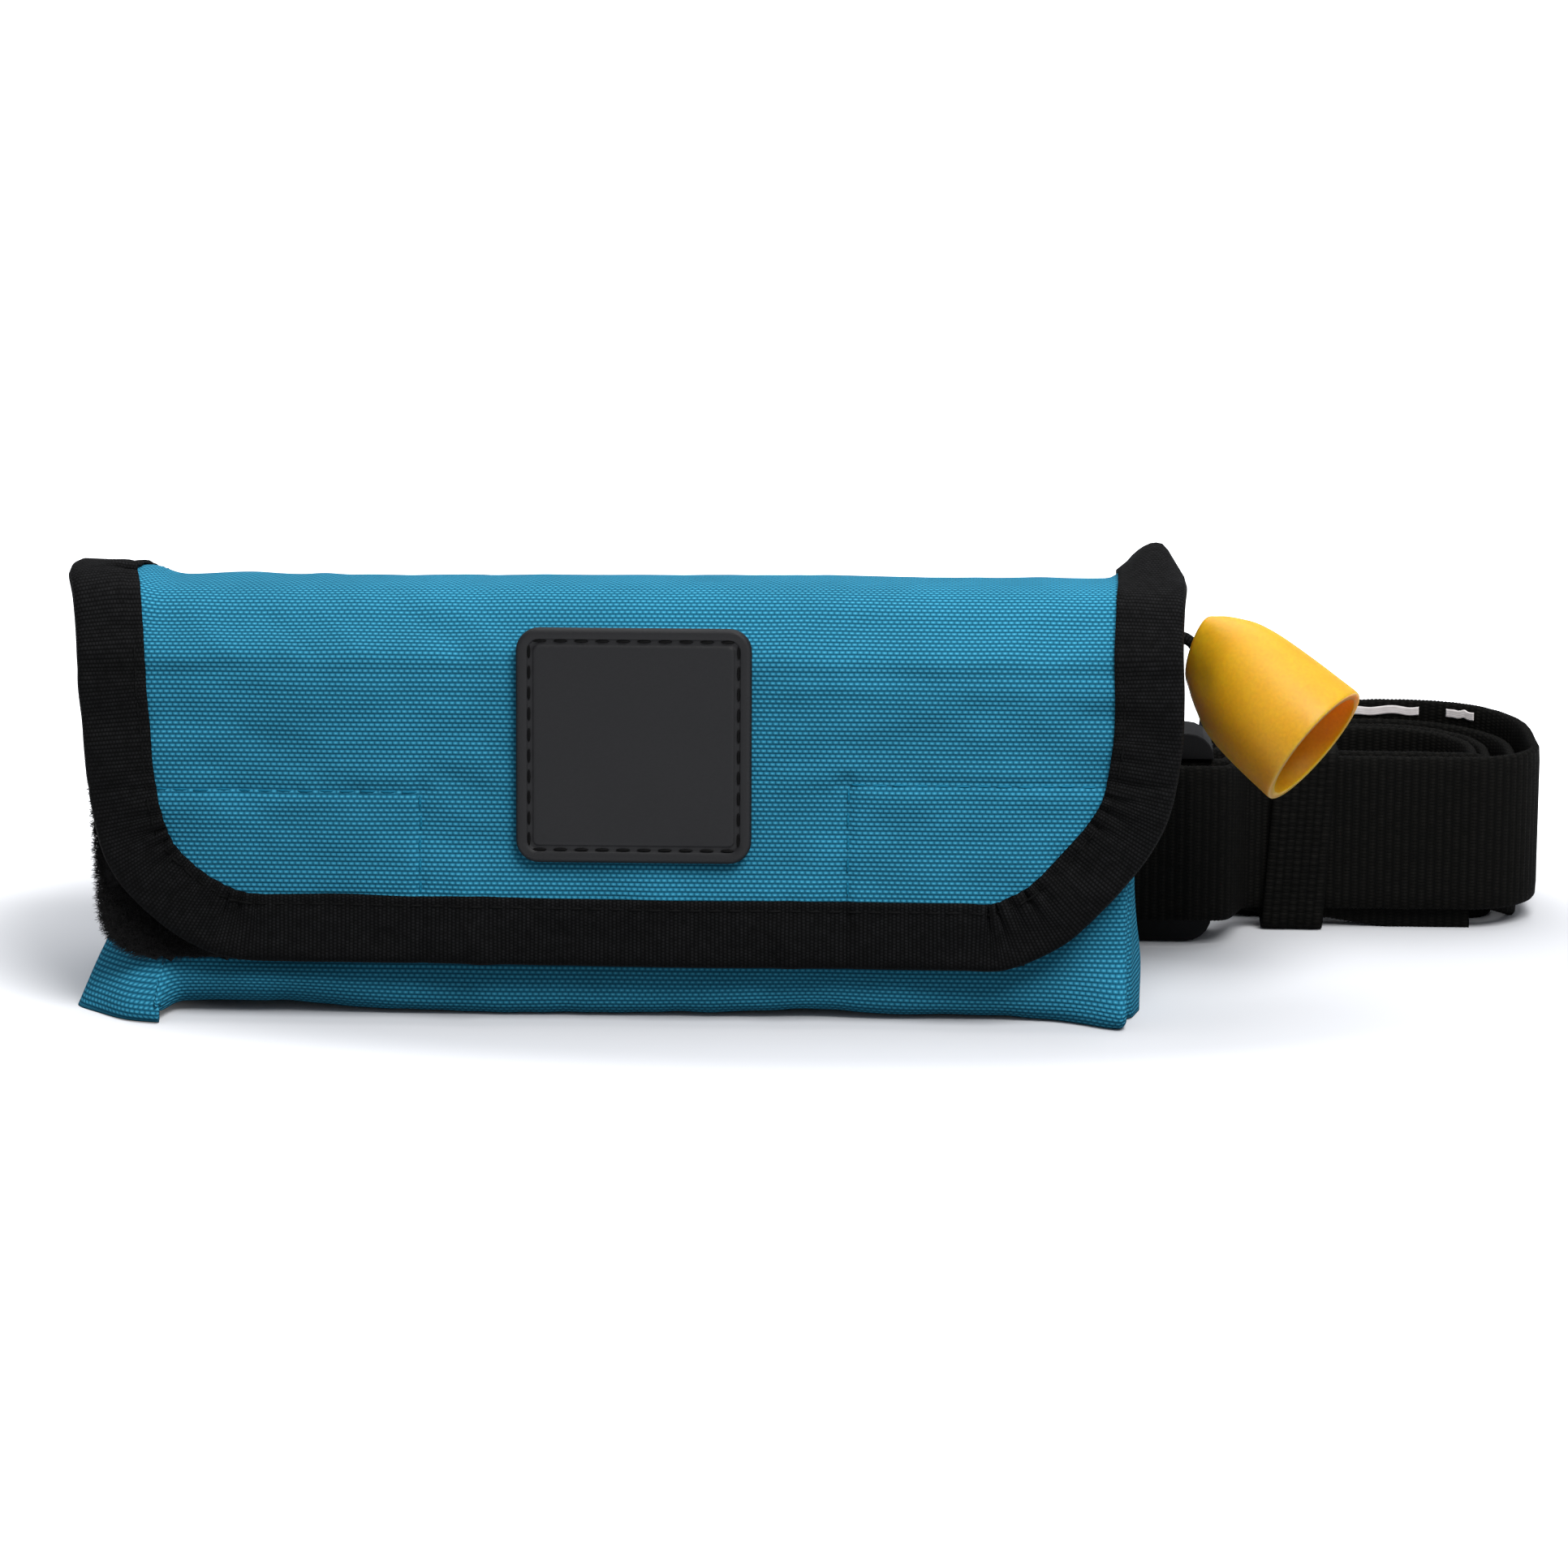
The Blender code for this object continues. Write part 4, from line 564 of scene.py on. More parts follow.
SECTION_LOW = 5.0
SECTION_KEYS = [(21.7, 53.0), (21.7, 57.6), (20.6, 60.2), (17.0, 61.4), (8.0, 63.3),
                (-1.0, 64.9), (-8.0, 65.3), (-12.6, 64.7), (-15.6, 62.9), (-17.9, 59.9),
                (-20.2, 56.3), (-21.0, 54.6), (front_y(53.2), 53.2), (front_y(50.0), 50.0),
                (front_y(44.0), 44.0), (front_y(38.0), 38.0),
                (front_y(26.0), 26.0), (front_y(SECTION_LOW), SECTION_LOW)]
section = Track([(y * MM, z * MM) for y, z in curve_through(SECTION_KEYS, 12)])
STITCH_LEFT = (-31.0, 35.2)
STITCH_RIGHT = (33.4, 36.9)
BADGE_MIDDLE = (1.3, 42.6)
BADGE_SIZE = 35.3


def reach_of_height(height):
    """Length along the section at which the front is at a height, in metres."""
    return section.length - (height - SECTION_LOW) / math.cos(LEAN) * MM


# Slanting folds: where each one stands, its slant, its width and its rise
SLACK_LEVEL = 58
SLACK_FOLDS = ((-62, 0.9, 2.6, 0.5), (-50, 1.2, 2.2, -0.45), (-42, 1.0, 2.0, 0.4),
               (-27, 1.3, 2.4, -0.5), (-20, 1.3, 2.2, 0.45), (24, -1.1, 2.4, 0.4),
               (33, -1.2, 2.2, -0.4), (58, -0.9, 2.6, 0.45), (66, -1.3, 2.2, -0.4))
LOW_LEVEL = 19
LOW_FOLDS = ((-24, 0.25, 2.2, 0.55), (-18.5, -0.35, 1.8, 0.35), (27.5, -0.3, 2.2, 0.5),
             (22.0, 0.3, 1.7, 0.3), (4.0, 0.1, 3.0, 0.25))


def folds(table, level, x, z):
    """Rise of a table of slanting folds, in millimetres."""
    return sum(rise * bump_at(x + slant * (z - level), middle, width)
               for middle, slant, width, rise in table)


def relief_of_flap(x, z):
    """How far the cloth stands out from its section, in millimetres, at a place in millimetres."""
    front = 1 - smoothly(50, 58, z)
    low = 1 - smoothly(16, 30, z)
    flat = smoothly(18, 24, max(abs(x - BADGE_MIDDLE[0]), abs(z - BADGE_MIDDLE[1])))
    out = 0.95 * ripple(x / 27, z / 17, 0.3)
    out += 0.42 * ripple(x / 9, z / 5, 4.1)
    out += 0.10 * ripple(x / 3.5, z / 1.8, 7.7)
    # Soft crease where the contents end
    crease = bump_at(z, 53.4 + 0.8 * ripple(x / 20, 0, 2), 1.3)
    out -= 0.45 * crease * (0.5 + 0.5 * smoothly(10, 30, abs(x + 2)))
    # Slanting folds in the slack cloth above that crease
    above = smoothly(54, 56.5, z) * (1 - smoothly(61, 64.5, z))
    out += above * folds(SLACK_FOLDS, SLACK_LEVEL, x, z)
    # Patches sewn behind the cloth: flat inside, drawn in along the stitches
    for side, (edge_x, edge_z) in ((-1, STITCH_LEFT), (1, STITCH_RIGHT)):
        beyond = side * (x - edge_x)
        inside = smoothly(-0.6, 0.6, beyond) * (1 - smoothly(edge_z - 0.6, edge_z + 0.6, z))
        out += 0.25 * inside
        pucker = 0.75 + 0.5 * ripple(x / 2.2, z / 2.2, side)
        if beyond > -2:
            out -= 0.55 * bump_at(z, edge_z, 0.7) * pucker
        if z < edge_z + 2:
            out -= 0.45 * bump_at(x, edge_x, 0.8) * pucker
    # Slack cloth between the patches, which folds near the bottom tape
    out += low * folds(LOW_FOLDS, LOW_LEVEL, x, z)
    # Cloth drawn in beside the tape at the sides
    side_wave = ripple(x / 14, z / 6, 9)
    out += 0.45 * side_wave * smoothly(55, 72, abs(x))
    out *= 0.25 + 0.75 * flat
    return out * (0.35 + 0.65 * front)


def rise_of_corner(x, y):
    """How far the top stands up, in millimetres: its right tape buckles into a peak."""
    peak = smoothly(72.0, 79.4, x) * (1 - 1.15 * smoothly(80.0, 84.6, x))
    right = 4.9 * peak * smoothly(-12, 6, y)
    left = smoothly(70, 79, -x) * 2.0 * bump_at(y, -6, 12)
    bumps = 0.9 * bump_at(x, -73.5, 2.4) + 0.5 * bump_at(x, -60, 5) + 0.35 * bump_at(x, -48, 3)
    slack = 0.45 + 0.55 * smoothly(-10, 60, -x)
    return right + left + bumps * bump_at(y, 0, 7) - slack


def flap_face(x, reach, lift=0.0):
    """World point on the flap's outer face, lifted along its normal. All in metres."""
    point, way = section.at(reach)
    out = Vector((way.y, -way.x))
    y, z = point.x / MM, point.y / MM
    place = point + out * (relief_of_flap(x / MM, z) * MM * smoothly(2, 12, reach / MM) + lift)
    up = rise_of_corner(x / MM, y) * MM * smoothly(56, 62, z)
    return Vector((x, place.x, place.y + up))


probe = flap_face(0, section.length / 2, MM) - flap_face(0, section.length / 2)
print("section %.1f mm long, outwards is" % (section.length / MM), list((probe / MM)[:]))

# %% [markdown]
# ## Cloth as it was cut
#
# A sheet's UV map holds the flat cloth as it was cut, in millimetres.


print("sheet UV maps hold the flat cut in millimetres")

# %% [markdown]
# ## The flap's cloth
#
# The flap turns on two fold lines, so its cloth is made in two pieces that meet on the top. The
# front piece bends between the top and the front of the flap. The back piece bends between the
# pouch and the top. Wrinkles, puckered stitching and the folds of slack cloth are in the mesh.

# %% Outline of the flap
LEFT_EDGE = [(-84.0, 0.0), (-84.2, 18.0), (-85.3, 32.0), (-85.4, 38.0), (-83.8, 45.0),
             (-82.8, 52.4)]
LEFT_EDGE_HEIGHTS = [(-82.4, 50.1), (-81.8, 44.0), (-81.2, 36.8), (-80.5, 31.9), (-79.6, 27.8),
                     (-78.3, 24.3), (-76.1, 20.8), (-72.9, 17.4), (-69.3, 14.4), (-65.6, 12.1),
                     (-61.8, 10.5), (-57.0, 9.7), (-50.0, 9.6)]
BOTTOM_EDGE_HEIGHTS = [(-40.0, 9.6), (-20.0, 9.5), (0.0, 9.3), (20.0, 9.3), (40.0, 9.3),
                       (50.0, 9.4)]
RIGHT_EDGE_HEIGHTS = [(57.3, 9.6), (64.7, 12.7), (69.5, 16.5), (74.3, 21.6), (78.5, 26.9),
                      (81.4, 33.0), (83.0, 41.7), (83.3, 50.0)]
RIGHT_EDGE = [(83.1, 52.4), (83.3, 45.0), (83.8, 36.6), (84.0, 20.0), (84.1, 0.0)]


def at_height(points):
    """Turn (x, height) points of the front into (x, reach) points."""
    return [(x, reach_of_height(height) / MM) for x, height in points]


left_edge = LEFT_EDGE + at_height(LEFT_EDGE_HEIGHTS)
right_edge = at_height(RIGHT_EDGE_HEIGHTS) + RIGHT_EDGE
left_side, right_side = curve_through(left_edge, 10), curve_through(right_edge, 10)
outline = Track([(x * MM, reach * MM) for x, reach in curve_through(
    left_edge + at_height(BOTTOM_EDGE_HEIGHTS) + right_edge, 10)])


def edge_at(side, reach):
    """X in millimetres of the flap's edge at a reach in millimetres."""
    for (first_x, first_reach), (second_x, second_reach) in zip(side, side[1:]):
        low, high = sorted((first_reach, second_reach))
        if low <= reach <= high and high > low:
            share = (reach - first_reach) / (second_reach - first_reach)
            return first_x + (second_x - first_x) * share
    return min(side, key=lambda point: abs(point[1] - reach))[0]


print("outline %.0f mm round" % (outline.length / MM))

# %% Front and back cloth
CLOTH = 1.0
CLOTH_INSET = 2.2
MEET_REACH = 24.0
CLOTH_LOW = 12.4
# Each fold line: the two bodies that it joins, and where the bend starts and ends
FRONT_FOLD = ("top_flap", "front_flap", (0, -14.5 * MM, 64.5 * MM), (0, -21.2 * MM, 56.0 * MM))
BACK_FOLD = ("pouch", "top_flap", (0, 21.5 * MM, 56.5 * MM), (0, 14.0 * MM, 61.6 * MM))


def flap_cloth(name, first, last, columns, rows):
    """The flap's cloth between two reaches, in millimetres."""
    def spot(across, up):
        reach = last + (first - last) * up
        left = edge_at(left_side, reach) + CLOTH_INSET
        right = edge_at(right_side, reach) - CLOTH_INSET
        return left + (right - left) * across, reach

    def place(across, up):
        x, reach = spot(across, up)
        return flap_face(x * MM, reach * MM)

    return sheet(name, columns, rows, place, spot, oxford, CLOTH)


flap_front = attach(flap_cloth("flap_cloth_front", MEET_REACH, reach_of_height(CLOTH_LOW) / MM,
                               250, 110), FRONT_FOLD, "flap_panel")
flap_back = attach(flap_cloth("flap_cloth_back", 1.0, MEET_REACH, 200, 26), BACK_FOLD,
                   "flap_top_panel")
print("flap cloth:", len(flap_front.data.polygons), "and", len(flap_back.data.polygons), "faces")

# %% [markdown]
# ## Binding tape
#
# A strip of grosgrain is folded over the raw edge and sewn through. On the straight it lies flat.
# Round a corner its inner edge is too long, so it stands up in small gathers. The tape is one
# sheet whose rows run round the fold from the inner edge in front to the inner edge behind.

# %% Tape round the flap
TAPE_THICK = 0.55
TAPE_FACE = 0.42
TAPE_WIDTH = 10.1
TAPE_TURN = 1.05
TAPE_SEAM = 8.6


def tape_width(mark):
    """Width of the tape in front at a length along the outline, in millimetres."""
    return TAPE_WIDTH + 0.22 * ripple(mark / MM / 11, 3, 3)


def tape_spot(mark, share):
    """Flat place, lift and length across of a point on the tape, in millimetres."""
    width = tape_width(mark)
    turn = math.pi * TAPE_TURN
    total = 2 * (width - TAPE_TURN) + turn
    walked = share * total
    if walked < width - TAPE_TURN:
        inset, lift = width - walked, TAPE_FACE
    elif walked < width - TAPE_TURN + turn:
        angle = (walked - (width - TAPE_TURN)) / TAPE_TURN
        inset = TAPE_TURN * (1 - math.sin(angle))
        lift = TAPE_FACE - TAPE_TURN * (1 - math.cos(angle))
    else:
        inset = TAPE_TURN + walked - (width - TAPE_TURN + turn)
        lift = TAPE_FACE - 2 * TAPE_TURN
    return inset, lift, walked


def bend_at(mark):
    """How sharply the outline turns at a length along it, from 0 to 1."""
    before, after = outline.at(mark - 4 * MM)[1], outline.at(mark + 4 * MM)[1]
    return min(1.0, before.angle(after) / 0.32)


def tape_point(mark, share):
    """World point on the tape."""
    inset, lift, walked = tape_spot(mark, share)
    point, way = outline.at(mark)
    inward = Vector((way.y, -way.x))
    flat = point + inward * inset * MM
    inner = smoothly(3.5, 9.5, inset)
    gather = bend_at(mark) * inner * 0.42 * math.sin(mark / MM * 2 * math.pi / 3.7)
    loose = 0.22 * ripple(mark / MM / 7, inset / 6, 5)
    seam = -0.16 * bump_at(inset, TAPE_SEAM, 0.55)
    rise = lift + (gather + loose + seam if lift > 0 else 0)
    return flap_face(flat.x, flat.y, rise * MM)


def tape_piece(name, first, last, columns, rows=26):
    """Binding tape between two lengths along the outline, in metres."""
    def place(along, across):
        return tape_point(first + (last - first) * along, across)

    def measure(along, across):
        mark = first + (last - first) * along
        return tape_spot(mark, across)[2], mark / MM

    return sheet(name, columns, rows, place, measure, grosgrain, TAPE_THICK, 0.0)


def mark_at_reach(reach, from_end):
    """Length along the outline where it first reaches a reach, from its start or its end."""
    marks = [step * MM / 2 for step in range(int(outline.length / MM * 2))]
    if from_end:
        marks = marks[::-1]
    return next(mark for mark in marks if outline.at(mark)[0].y >= reach * MM)


meet_left = mark_at_reach(MEET_REACH, False)
meet_right = mark_at_reach(MEET_REACH, True)
attach(tape_piece("flap_tape_front", meet_left, meet_right, 620), FRONT_FOLD,
       "flap_binding")
for side, first, last in (("left", 1 * MM, meet_left),
                          ("right", meet_right, outline.length - 1 * MM)):
    attach(tape_piece("flap_tape_top_" + side, first, last, 50), BACK_FOLD,
           "flap_top_binding_" + side)
print("tape from %.0f to %.0f mm" % (meet_left / MM, meet_right / MM))

# %% [markdown]
# ## Stitches
#
# Each stitch is a short grain of thread, a little sunk at both ends where the needle went
# through. They are spheres drawn out along the seam. The teal lines on the flap hold the hook
# patches behind it, and black ones hold the tape.

# %% Stitch lines on the flap
STITCH = 3.1
STITCH_LONG = 2.5
STITCH_THICK = 0.42
STITCH_LOW = 19.5


def stitch_row(name, place, count, paint, long=STITCH_LONG, thick=STITCH_THICK):
    """A row of stitches; place gives the point and the direction of stitch number n."""
    thread = bmesh.new()
    for number in range(count):
        point, way, out = place(number)
        side = out.cross(way).normalized()
        turn = Matrix((way.normalized(), side, out.normalized())).transposed().to_4x4()
        size = Matrix.Diagonal((long * MM / 2, thick * MM / 2, thick * MM / 2, 1))
        bmesh.ops.create_uvsphere(thread, u_segments=8, v_segments=6, radius=1,
                                  matrix=Matrix.Translation(point) @ turn @ size)
    return finished(name, thread, paint)


def on_flap(x, height, lift):
    """A point on the flap's front with its outward direction."""
    reach = reach_of_height(height)
    point = flap_face(x * MM, reach, lift * MM)
    return point, (flap_face(x * MM, reach, (lift + 1) * MM) - point)


def flap_seam(name, start, end):
    """Teal stitches in a straight line on the flap's front, between (x, height) points."""
    length = math.dist(start, end)
    run, rise = end[0] - start[0], end[1] - start[1]
    count = int(length / STITCH)
    wander = random.Random(name)

    def place(number):
        share = (number + 0.5) / count
        x = start[0] + run * share + wander.uniform(-0.08, 0.08)
        height = start[1] + rise * share + wander.uniform(-0.08, 0.08)
        point, out = on_flap(x, height, 0.06)
        ahead, _ = on_flap(x + run / length, height + rise / length, 0.06)
        return point, ahead - point, out

    attach(stitch_row(name, place, count, teal_thread), "front_flap")


for name, start, end in (
        ("patch_stitches_left", (-72.0, STITCH_LEFT[1]), STITCH_LEFT),
        ("patch_stitches_left_side", STITCH_LEFT, (STITCH_LEFT[0], STITCH_LOW)),
        ("patch_stitches_right", STITCH_RIGHT, (74.0, STITCH_RIGHT[1])),
        ("patch_stitches_right_side", STITCH_RIGHT, (STITCH_RIGHT[0], STITCH_LOW))):
    flap_seam(name, start, end)

TAPE_STITCH = 3.0
FLAP_FOLD_REACH = 52.5
fold_left = mark_at_reach(FLAP_FOLD_REACH, False)
fold_right = mark_at_reach(FLAP_FOLD_REACH, True)


def tape_stitch(number):
    """A stitch on the tape's inner seam, with its direction and the way out."""
    mark = fold_left + (number + 0.5) * TAPE_STITCH * MM
    width = tape_width(mark)
    share = (width - TAPE_SEAM) / (2 * (width - TAPE_TURN) + math.pi * TAPE_TURN)
    point, ahead = tape_point(mark, share), tape_point(mark + 0.5 * MM, share)
    inner = tape_point(mark, share + 0.02)
    out = (ahead - point).cross(inner - point)
    if out.y > 0:
        out.negate()
    return point + out.normalized() * TAPE_THICK * MM / 2, ahead - point, out


attach(stitch_row("tape_stitches", tape_stitch, int((fold_right - fold_left) / MM / TAPE_STITCH),
                  black_thread), "front_flap")
print("stitches on the flap made")

# %% [markdown]
# ## Badge
#
# The badge is moulded rubber: a rounded square with a smooth raised rim, a groove that holds the
# stitches, and a flat field. Its words and picture are left out. A plate gets round corners from
# a bevel of its four corner points, and insets then cut the rim, the groove and the field.

# %% Badge on the flap
BADGE_LIFT = 0.3
BADGE_THICK = 1.6
BADGE_RADIUS = 3.4
RIM_RISE = 0.4
GROOVE_INSET = 1.95
GROOVE_DEEP = 0.30
BADGE_STITCH = 3.0
BADGE_STITCH_LONG = 2.2
BADGE_STITCH_THICK = 0.46
# Width and rise of each inset, from the rounded rim through the groove to the field
BADGE_STEPS = ((0.35, 0.30), (0.30, 0.10), (0.85, 0.0), (0.22, -0.30), (0.10, -0.10),
               (0.62, 0.0), (0.10, 0.10), (0.18, 0.18), (0.4, 0.0))

on_front = (Matrix.Translation(Vector((BADGE_MIDDLE[0], front_y(BADGE_MIDDLE[1]),
                                       BADGE_MIDDLE[1])) * MM)
            @ Matrix.Rotation(90 * DEG - LEAN, 4, "X"))
patch = bmesh.new()
bmesh.ops.create_grid(patch, x_segments=1, y_segments=1, size=BADGE_SIZE * MM / 2)
bmesh.ops.bevel(patch, geom=patch.verts[:], affect="VERTICES", offset=BADGE_RADIUS * MM,
                offset_type="OFFSET", segments=8, profile=0.5, material=-1)
raised = bmesh.ops.extrude_face_region(patch, geom=patch.faces[:])["geom"]
top_verts = [item for item in raised if isinstance(item, bmesh.types.BMVert)]
bmesh.ops.translate(patch, verts=top_verts, vec=(0, 0, (BADGE_THICK - RIM_RISE) * MM))
top = [item for item in raised if isinstance(item, bmesh.types.BMFace)]
for width, depth in BADGE_STEPS:
    bmesh.ops.inset_region(patch, faces=top, thickness=width * MM, depth=depth * MM,
                           use_even_offset=True)
bmesh.ops.recalc_face_normals(patch, faces=patch.faces)
bmesh.ops.transform(patch, matrix=on_front @ Matrix.Translation((0, 0, BADGE_LIFT * MM)),
                    verts=patch.verts)
badge = finished("badge_patch", patch, badge_rubber)
badge.modifiers.new("flat faces stay flat", "WEIGHTED_NORMAL")
attach(badge, "front_flap", "badge")

half = (BADGE_SIZE / 2 - GROOVE_INSET) * MM
side_count = int(2 * half / MM / BADGE_STITCH)


def badge_stitch(number):
    """A stitch in the groove, counted round the badge's four sides."""
    side, place = divmod(number, side_count)
    along = ((place + 0.5) / side_count * 2 - 1) * half
    turn = Matrix.Rotation(side * 90 * DEG, 4, "Z")
    spot = turn @ Vector((along, -half, (BADGE_LIFT + BADGE_THICK - GROOVE_DEEP) * MM))
    return (on_front @ spot, on_front.to_3x3() @ (turn @ Vector((1, 0, 0))),
            on_front.to_3x3() @ Vector((0, 0, 1)))


attach(stitch_row("badge_stitches", badge_stitch, 4 * side_count, black_thread,
                  BADGE_STITCH_LONG, BADGE_STITCH_THICK), "front_flap")
print("badge", BADGE_SIZE, "mm,", 4 * side_count, "stitches")

# %% [markdown]
# ## Pouch
#
# Front, bottom and back are one length of the same cloth. It is soft, so the bottom edge waves,
# and the corners are pulled out into points where the side panels are sewn in. The left side
# panel has slack cloth that pokes out at the foot.

# %% Pouch cloth
POUCH_LEFT = -71.0
POUCH_RIGHT = 75.2
POUCH_BACK = 21.0
LIP = 50.0
BACK_HEIGHT = 57.8
POUCH_FRONT = -17.9
CORNER = 5.0


def pouch_front_y(height):
    """Y in millimetres of the pouch's own front, behind the flap."""
    return POUCH_FRONT - (LIP - height) * math.tan(LEAN) + 0.45


pouch_keys = [(pouch_front_y(LIP), LIP), (pouch_front_y(35), 35), (pouch_front_y(20), 20),
              (pouch_front_y(10), 10), (pouch_front_y(5), 4.6), (pouch_front_y(2.6) + 0.5, 1.9),
              (pouch_front_y(0) + 2.8, 0.3), (-14, 0.02), (-5, 0.0), (8, 0.0), (15, 0.1),
              (19.0, 1.2), (20.7, 3.6), *((POUCH_BACK, height)
                                          for height in (8, 20, 35, 48, BACK_HEIGHT))]
wrap_line = Track([(y * MM, z * MM) for y, z in curve_through(pouch_keys, 8)])
FOOT_REACH = 8.0
SEAM_ROUND = 1.3
SEAM_MARGIN = 0.3


def turned_in(x):
    """Where a flat X lands once the cloth's side turns in to its seam, and how deep it is."""
    for edge, side in ((POUCH_LEFT - SEAM_MARGIN, -1), (POUCH_RIGHT + SEAM_MARGIN, 1)):
        beyond = side * (x - edge) + SEAM_ROUND
        if beyond > 0:
            angle = beyond / SEAM_ROUND
            return (edge - side * SEAM_ROUND * (1 - math.sin(angle)),
                    SEAM_ROUND * (1 - math.cos(angle)))
    return x, 0.0


def wrap_spot(across, up):
    """Flat place on the cloth; its columns are closer together beside the seams."""
    across -= 0.6 * math.sin(2 * math.pi * across) / (2 * math.pi)
    margin = SEAM_MARGIN + SEAM_ROUND * (math.pi / 2 - 1)
    return (POUCH_LEFT - margin + (POUCH_RIGHT - POUCH_LEFT + 2 * margin) * across,
            (1 - up) * wrap_line.length / MM)


def wrap_place(across, up):
    """World point on the pouch's outer face."""
    x, walked = wrap_spot(across, up)
    x, sunk = turned_in(x)
    point, way = wrap_line.at(walked * MM)
    out = Vector((way.y, -way.x))
    y, z = point.x / MM, point.y / MM
    foot = 1 - smoothly(0.5, 11, z)
    front = 1 - smoothly(-14, -4, y)
    back = smoothly(17, 20.5, y)
    wave = 0.55 * ripple(x / 16, z / 9, y / 12)
    wave += 0.2 * ripple(x / 5, z / 4, y / 5 + 3)
    wave *= (front * (0.6 + 0.4 * foot) + 0.55 * back * smoothly(1, 8, z)
             * (1 - smoothly(50, 56, z)))
    right = smoothly(56, 75, x) * foot * front
    fan = math.sin((x - 75) / (3.2 + 0.22 * z)) * right * smoothly(0.3, 3, z)
    left_tip = bump_at(x, -71.3, 2.2) * foot * front
    belly = 1.5 * bump_at(x, -52, 14) * smoothly(0.5, 5, z) * (1 - smoothly(5.5, 9, z)) * front
    place = point + out * (wave + 0.8 * fan + belly - sunk) * MM
    forward = FOOT_REACH * left_tip ** 1.5 + 5.4 * smoothly(58, 75.6, x) ** 2 * foot * front
    raised = 1.5 * bump_at(x, -58, 17) + 0.8 * bump_at(x, 30, 18)
    rise = raised * (1 - smoothly(1, 9, z)) * front * (1 - smoothly(-16, -9, y))
    return Vector((x * MM, place.x - forward * MM, max(place.y + rise * MM, 0)))


pouch = sheet("pouch_cloth", 260, 150, wrap_place, wrap_spot, oxford, CLOTH)
attach(pouch, "pouch", "pouch_wrap")
print("pouch cloth %.0f mm long" % (wrap_line.length / MM))

# %% Side panels
EAR_LEFT = 12.2
EAR_RIGHT = 1.6
PANEL_STEPS = 90
PANEL_CLOTH = 0.9


def side_panel(name, node, side_x, outward, ear):
    """A side panel whose foot is pushed out, with a few creases that run down to it."""
    def place(across, up):
        share = 1 - across if outward < 0 else across
        height = up * (LIP - 0.4)
        corner = max(CORNER - height, 0)
        tuck = CORNER - math.sqrt(CORNER ** 2 - corner ** 2)
        front = pouch_front_y(height) + 0.5 * tuck
        back = POUCH_BACK - tuck
        forward_share = share ** 0.62
        swell = math.sin(math.pi * forward_share) ** 1.4
        fade = (1 - up) ** 2.4
        crumple = ripple(share * 5, up * 4, 2.2) * math.sin(math.pi * share)
        crease = bump_at(share, 0.22 + 0.25 * up, 0.07) - bump_at(share, 0.42 + 0.1 * up, 0.09)
        out = ear * swell * fade + (1.4 * crumple * (1 - up) ** 0.5
                                    + 1.7 * crease * (1 - up) * min(1.0, ear / 8))
        lean_forward = 6.0 * fade * bump_at(share, 0.22, 0.2) * min(1.0, ear / 8)
        if outward < 0:
            foot = (1 - smoothly(0.5, 11, height)) ** 1.5
            lean_forward += FOOT_REACH * 0.8 * foot * bump_at(share, 0, 0.14)
        seam = bump_at(share, 0, 0.03) + bump_at(share, 1, 0.03)
        return Vector((side_x + outward * (0.8 - 1.1 * seam + max(out, 0)),
                       front + 0.8 + (back - front - 1.2) * share - lean_forward, height)) * MM

    # The slack cloth of a row is longer than its chord, so its flat place is walked out
    flat = []
    for row in range(PANEL_STEPS + 1):
        line = [place(column / PANEL_STEPS, row / PANEL_STEPS)
                for column in range(PANEL_STEPS + 1)]
        walked = [0.0]
        for first, second in zip(line, line[1:]):
            walked.append(walked[-1] + (second - first).length / MM)
        flat.append(walked)

    def spot(across, up):
        return flat[round(up * PANEL_STEPS)][round(across * PANEL_STEPS)], up * LIP

    panel = sheet(name, PANEL_STEPS, PANEL_STEPS, place, spot, oxford, PANEL_CLOTH)
    attach(panel, "pouch", node)


side_panel("side_panel_left", "gusset_left", POUCH_LEFT, -1, EAR_LEFT)
side_panel("side_panel_right", "gusset_right", POUCH_RIGHT, 1, EAR_RIGHT)
print("side panels made")

# %% [markdown]
# ## Hook and loop
#
# The pouch carries a brushed pile strip, and the flap carries two hook patches. The strip
# reaches past the flap at its lower left, where its cut edge frays. The pile is thousands of
# short loops in reality; here a few thousand fine hairs stand for them along the seen edges.

# %% Pile strip with its fuzz
PILE_LEFT = -79.6
PILE_RIGHT = 60.0
PILE_LOW = 9.2
PILE_HIGH = 43.0
PILE_CORNER = 8.0
PILE_LEAN = 0.05
PILE_DEPTH = 2.75
PILE_THICK = 1.2
HAIRS = 5200
HAIR_RADIUS = 0.04
HAIR_LENGTH = 1.9


def pile_left_edge(height):
    """X in millimetres of the strip's left edge, which is cut round at the foot."""
    below = max(PILE_LOW + PILE_CORNER - height, 0)
    above = max(height - PILE_LOW - PILE_CORNER, 0)
    return (PILE_LEFT + PILE_CORNER - math.sqrt(max(PILE_CORNER ** 2 - below ** 2, 0))
            - PILE_LEAN * above)


def pile_point(x, height, lift=0.0):
    """World point on the strip, which lies behind the flap's front."""
    rough = 0.25 * ripple(x / 1.3, height / 1.3, 8)
    y = front_y(height) + (PILE_DEPTH - lift - rough) / math.cos(LEAN)
    return Vector((x, y, height)) * MM


def pile_spot(across, up):
    """Flat place on the strip, in millimetres."""
    height = PILE_LOW + (PILE_HIGH - PILE_LOW) * up
    left = pile_left_edge(height)
    return left + (PILE_RIGHT - left) * across, height


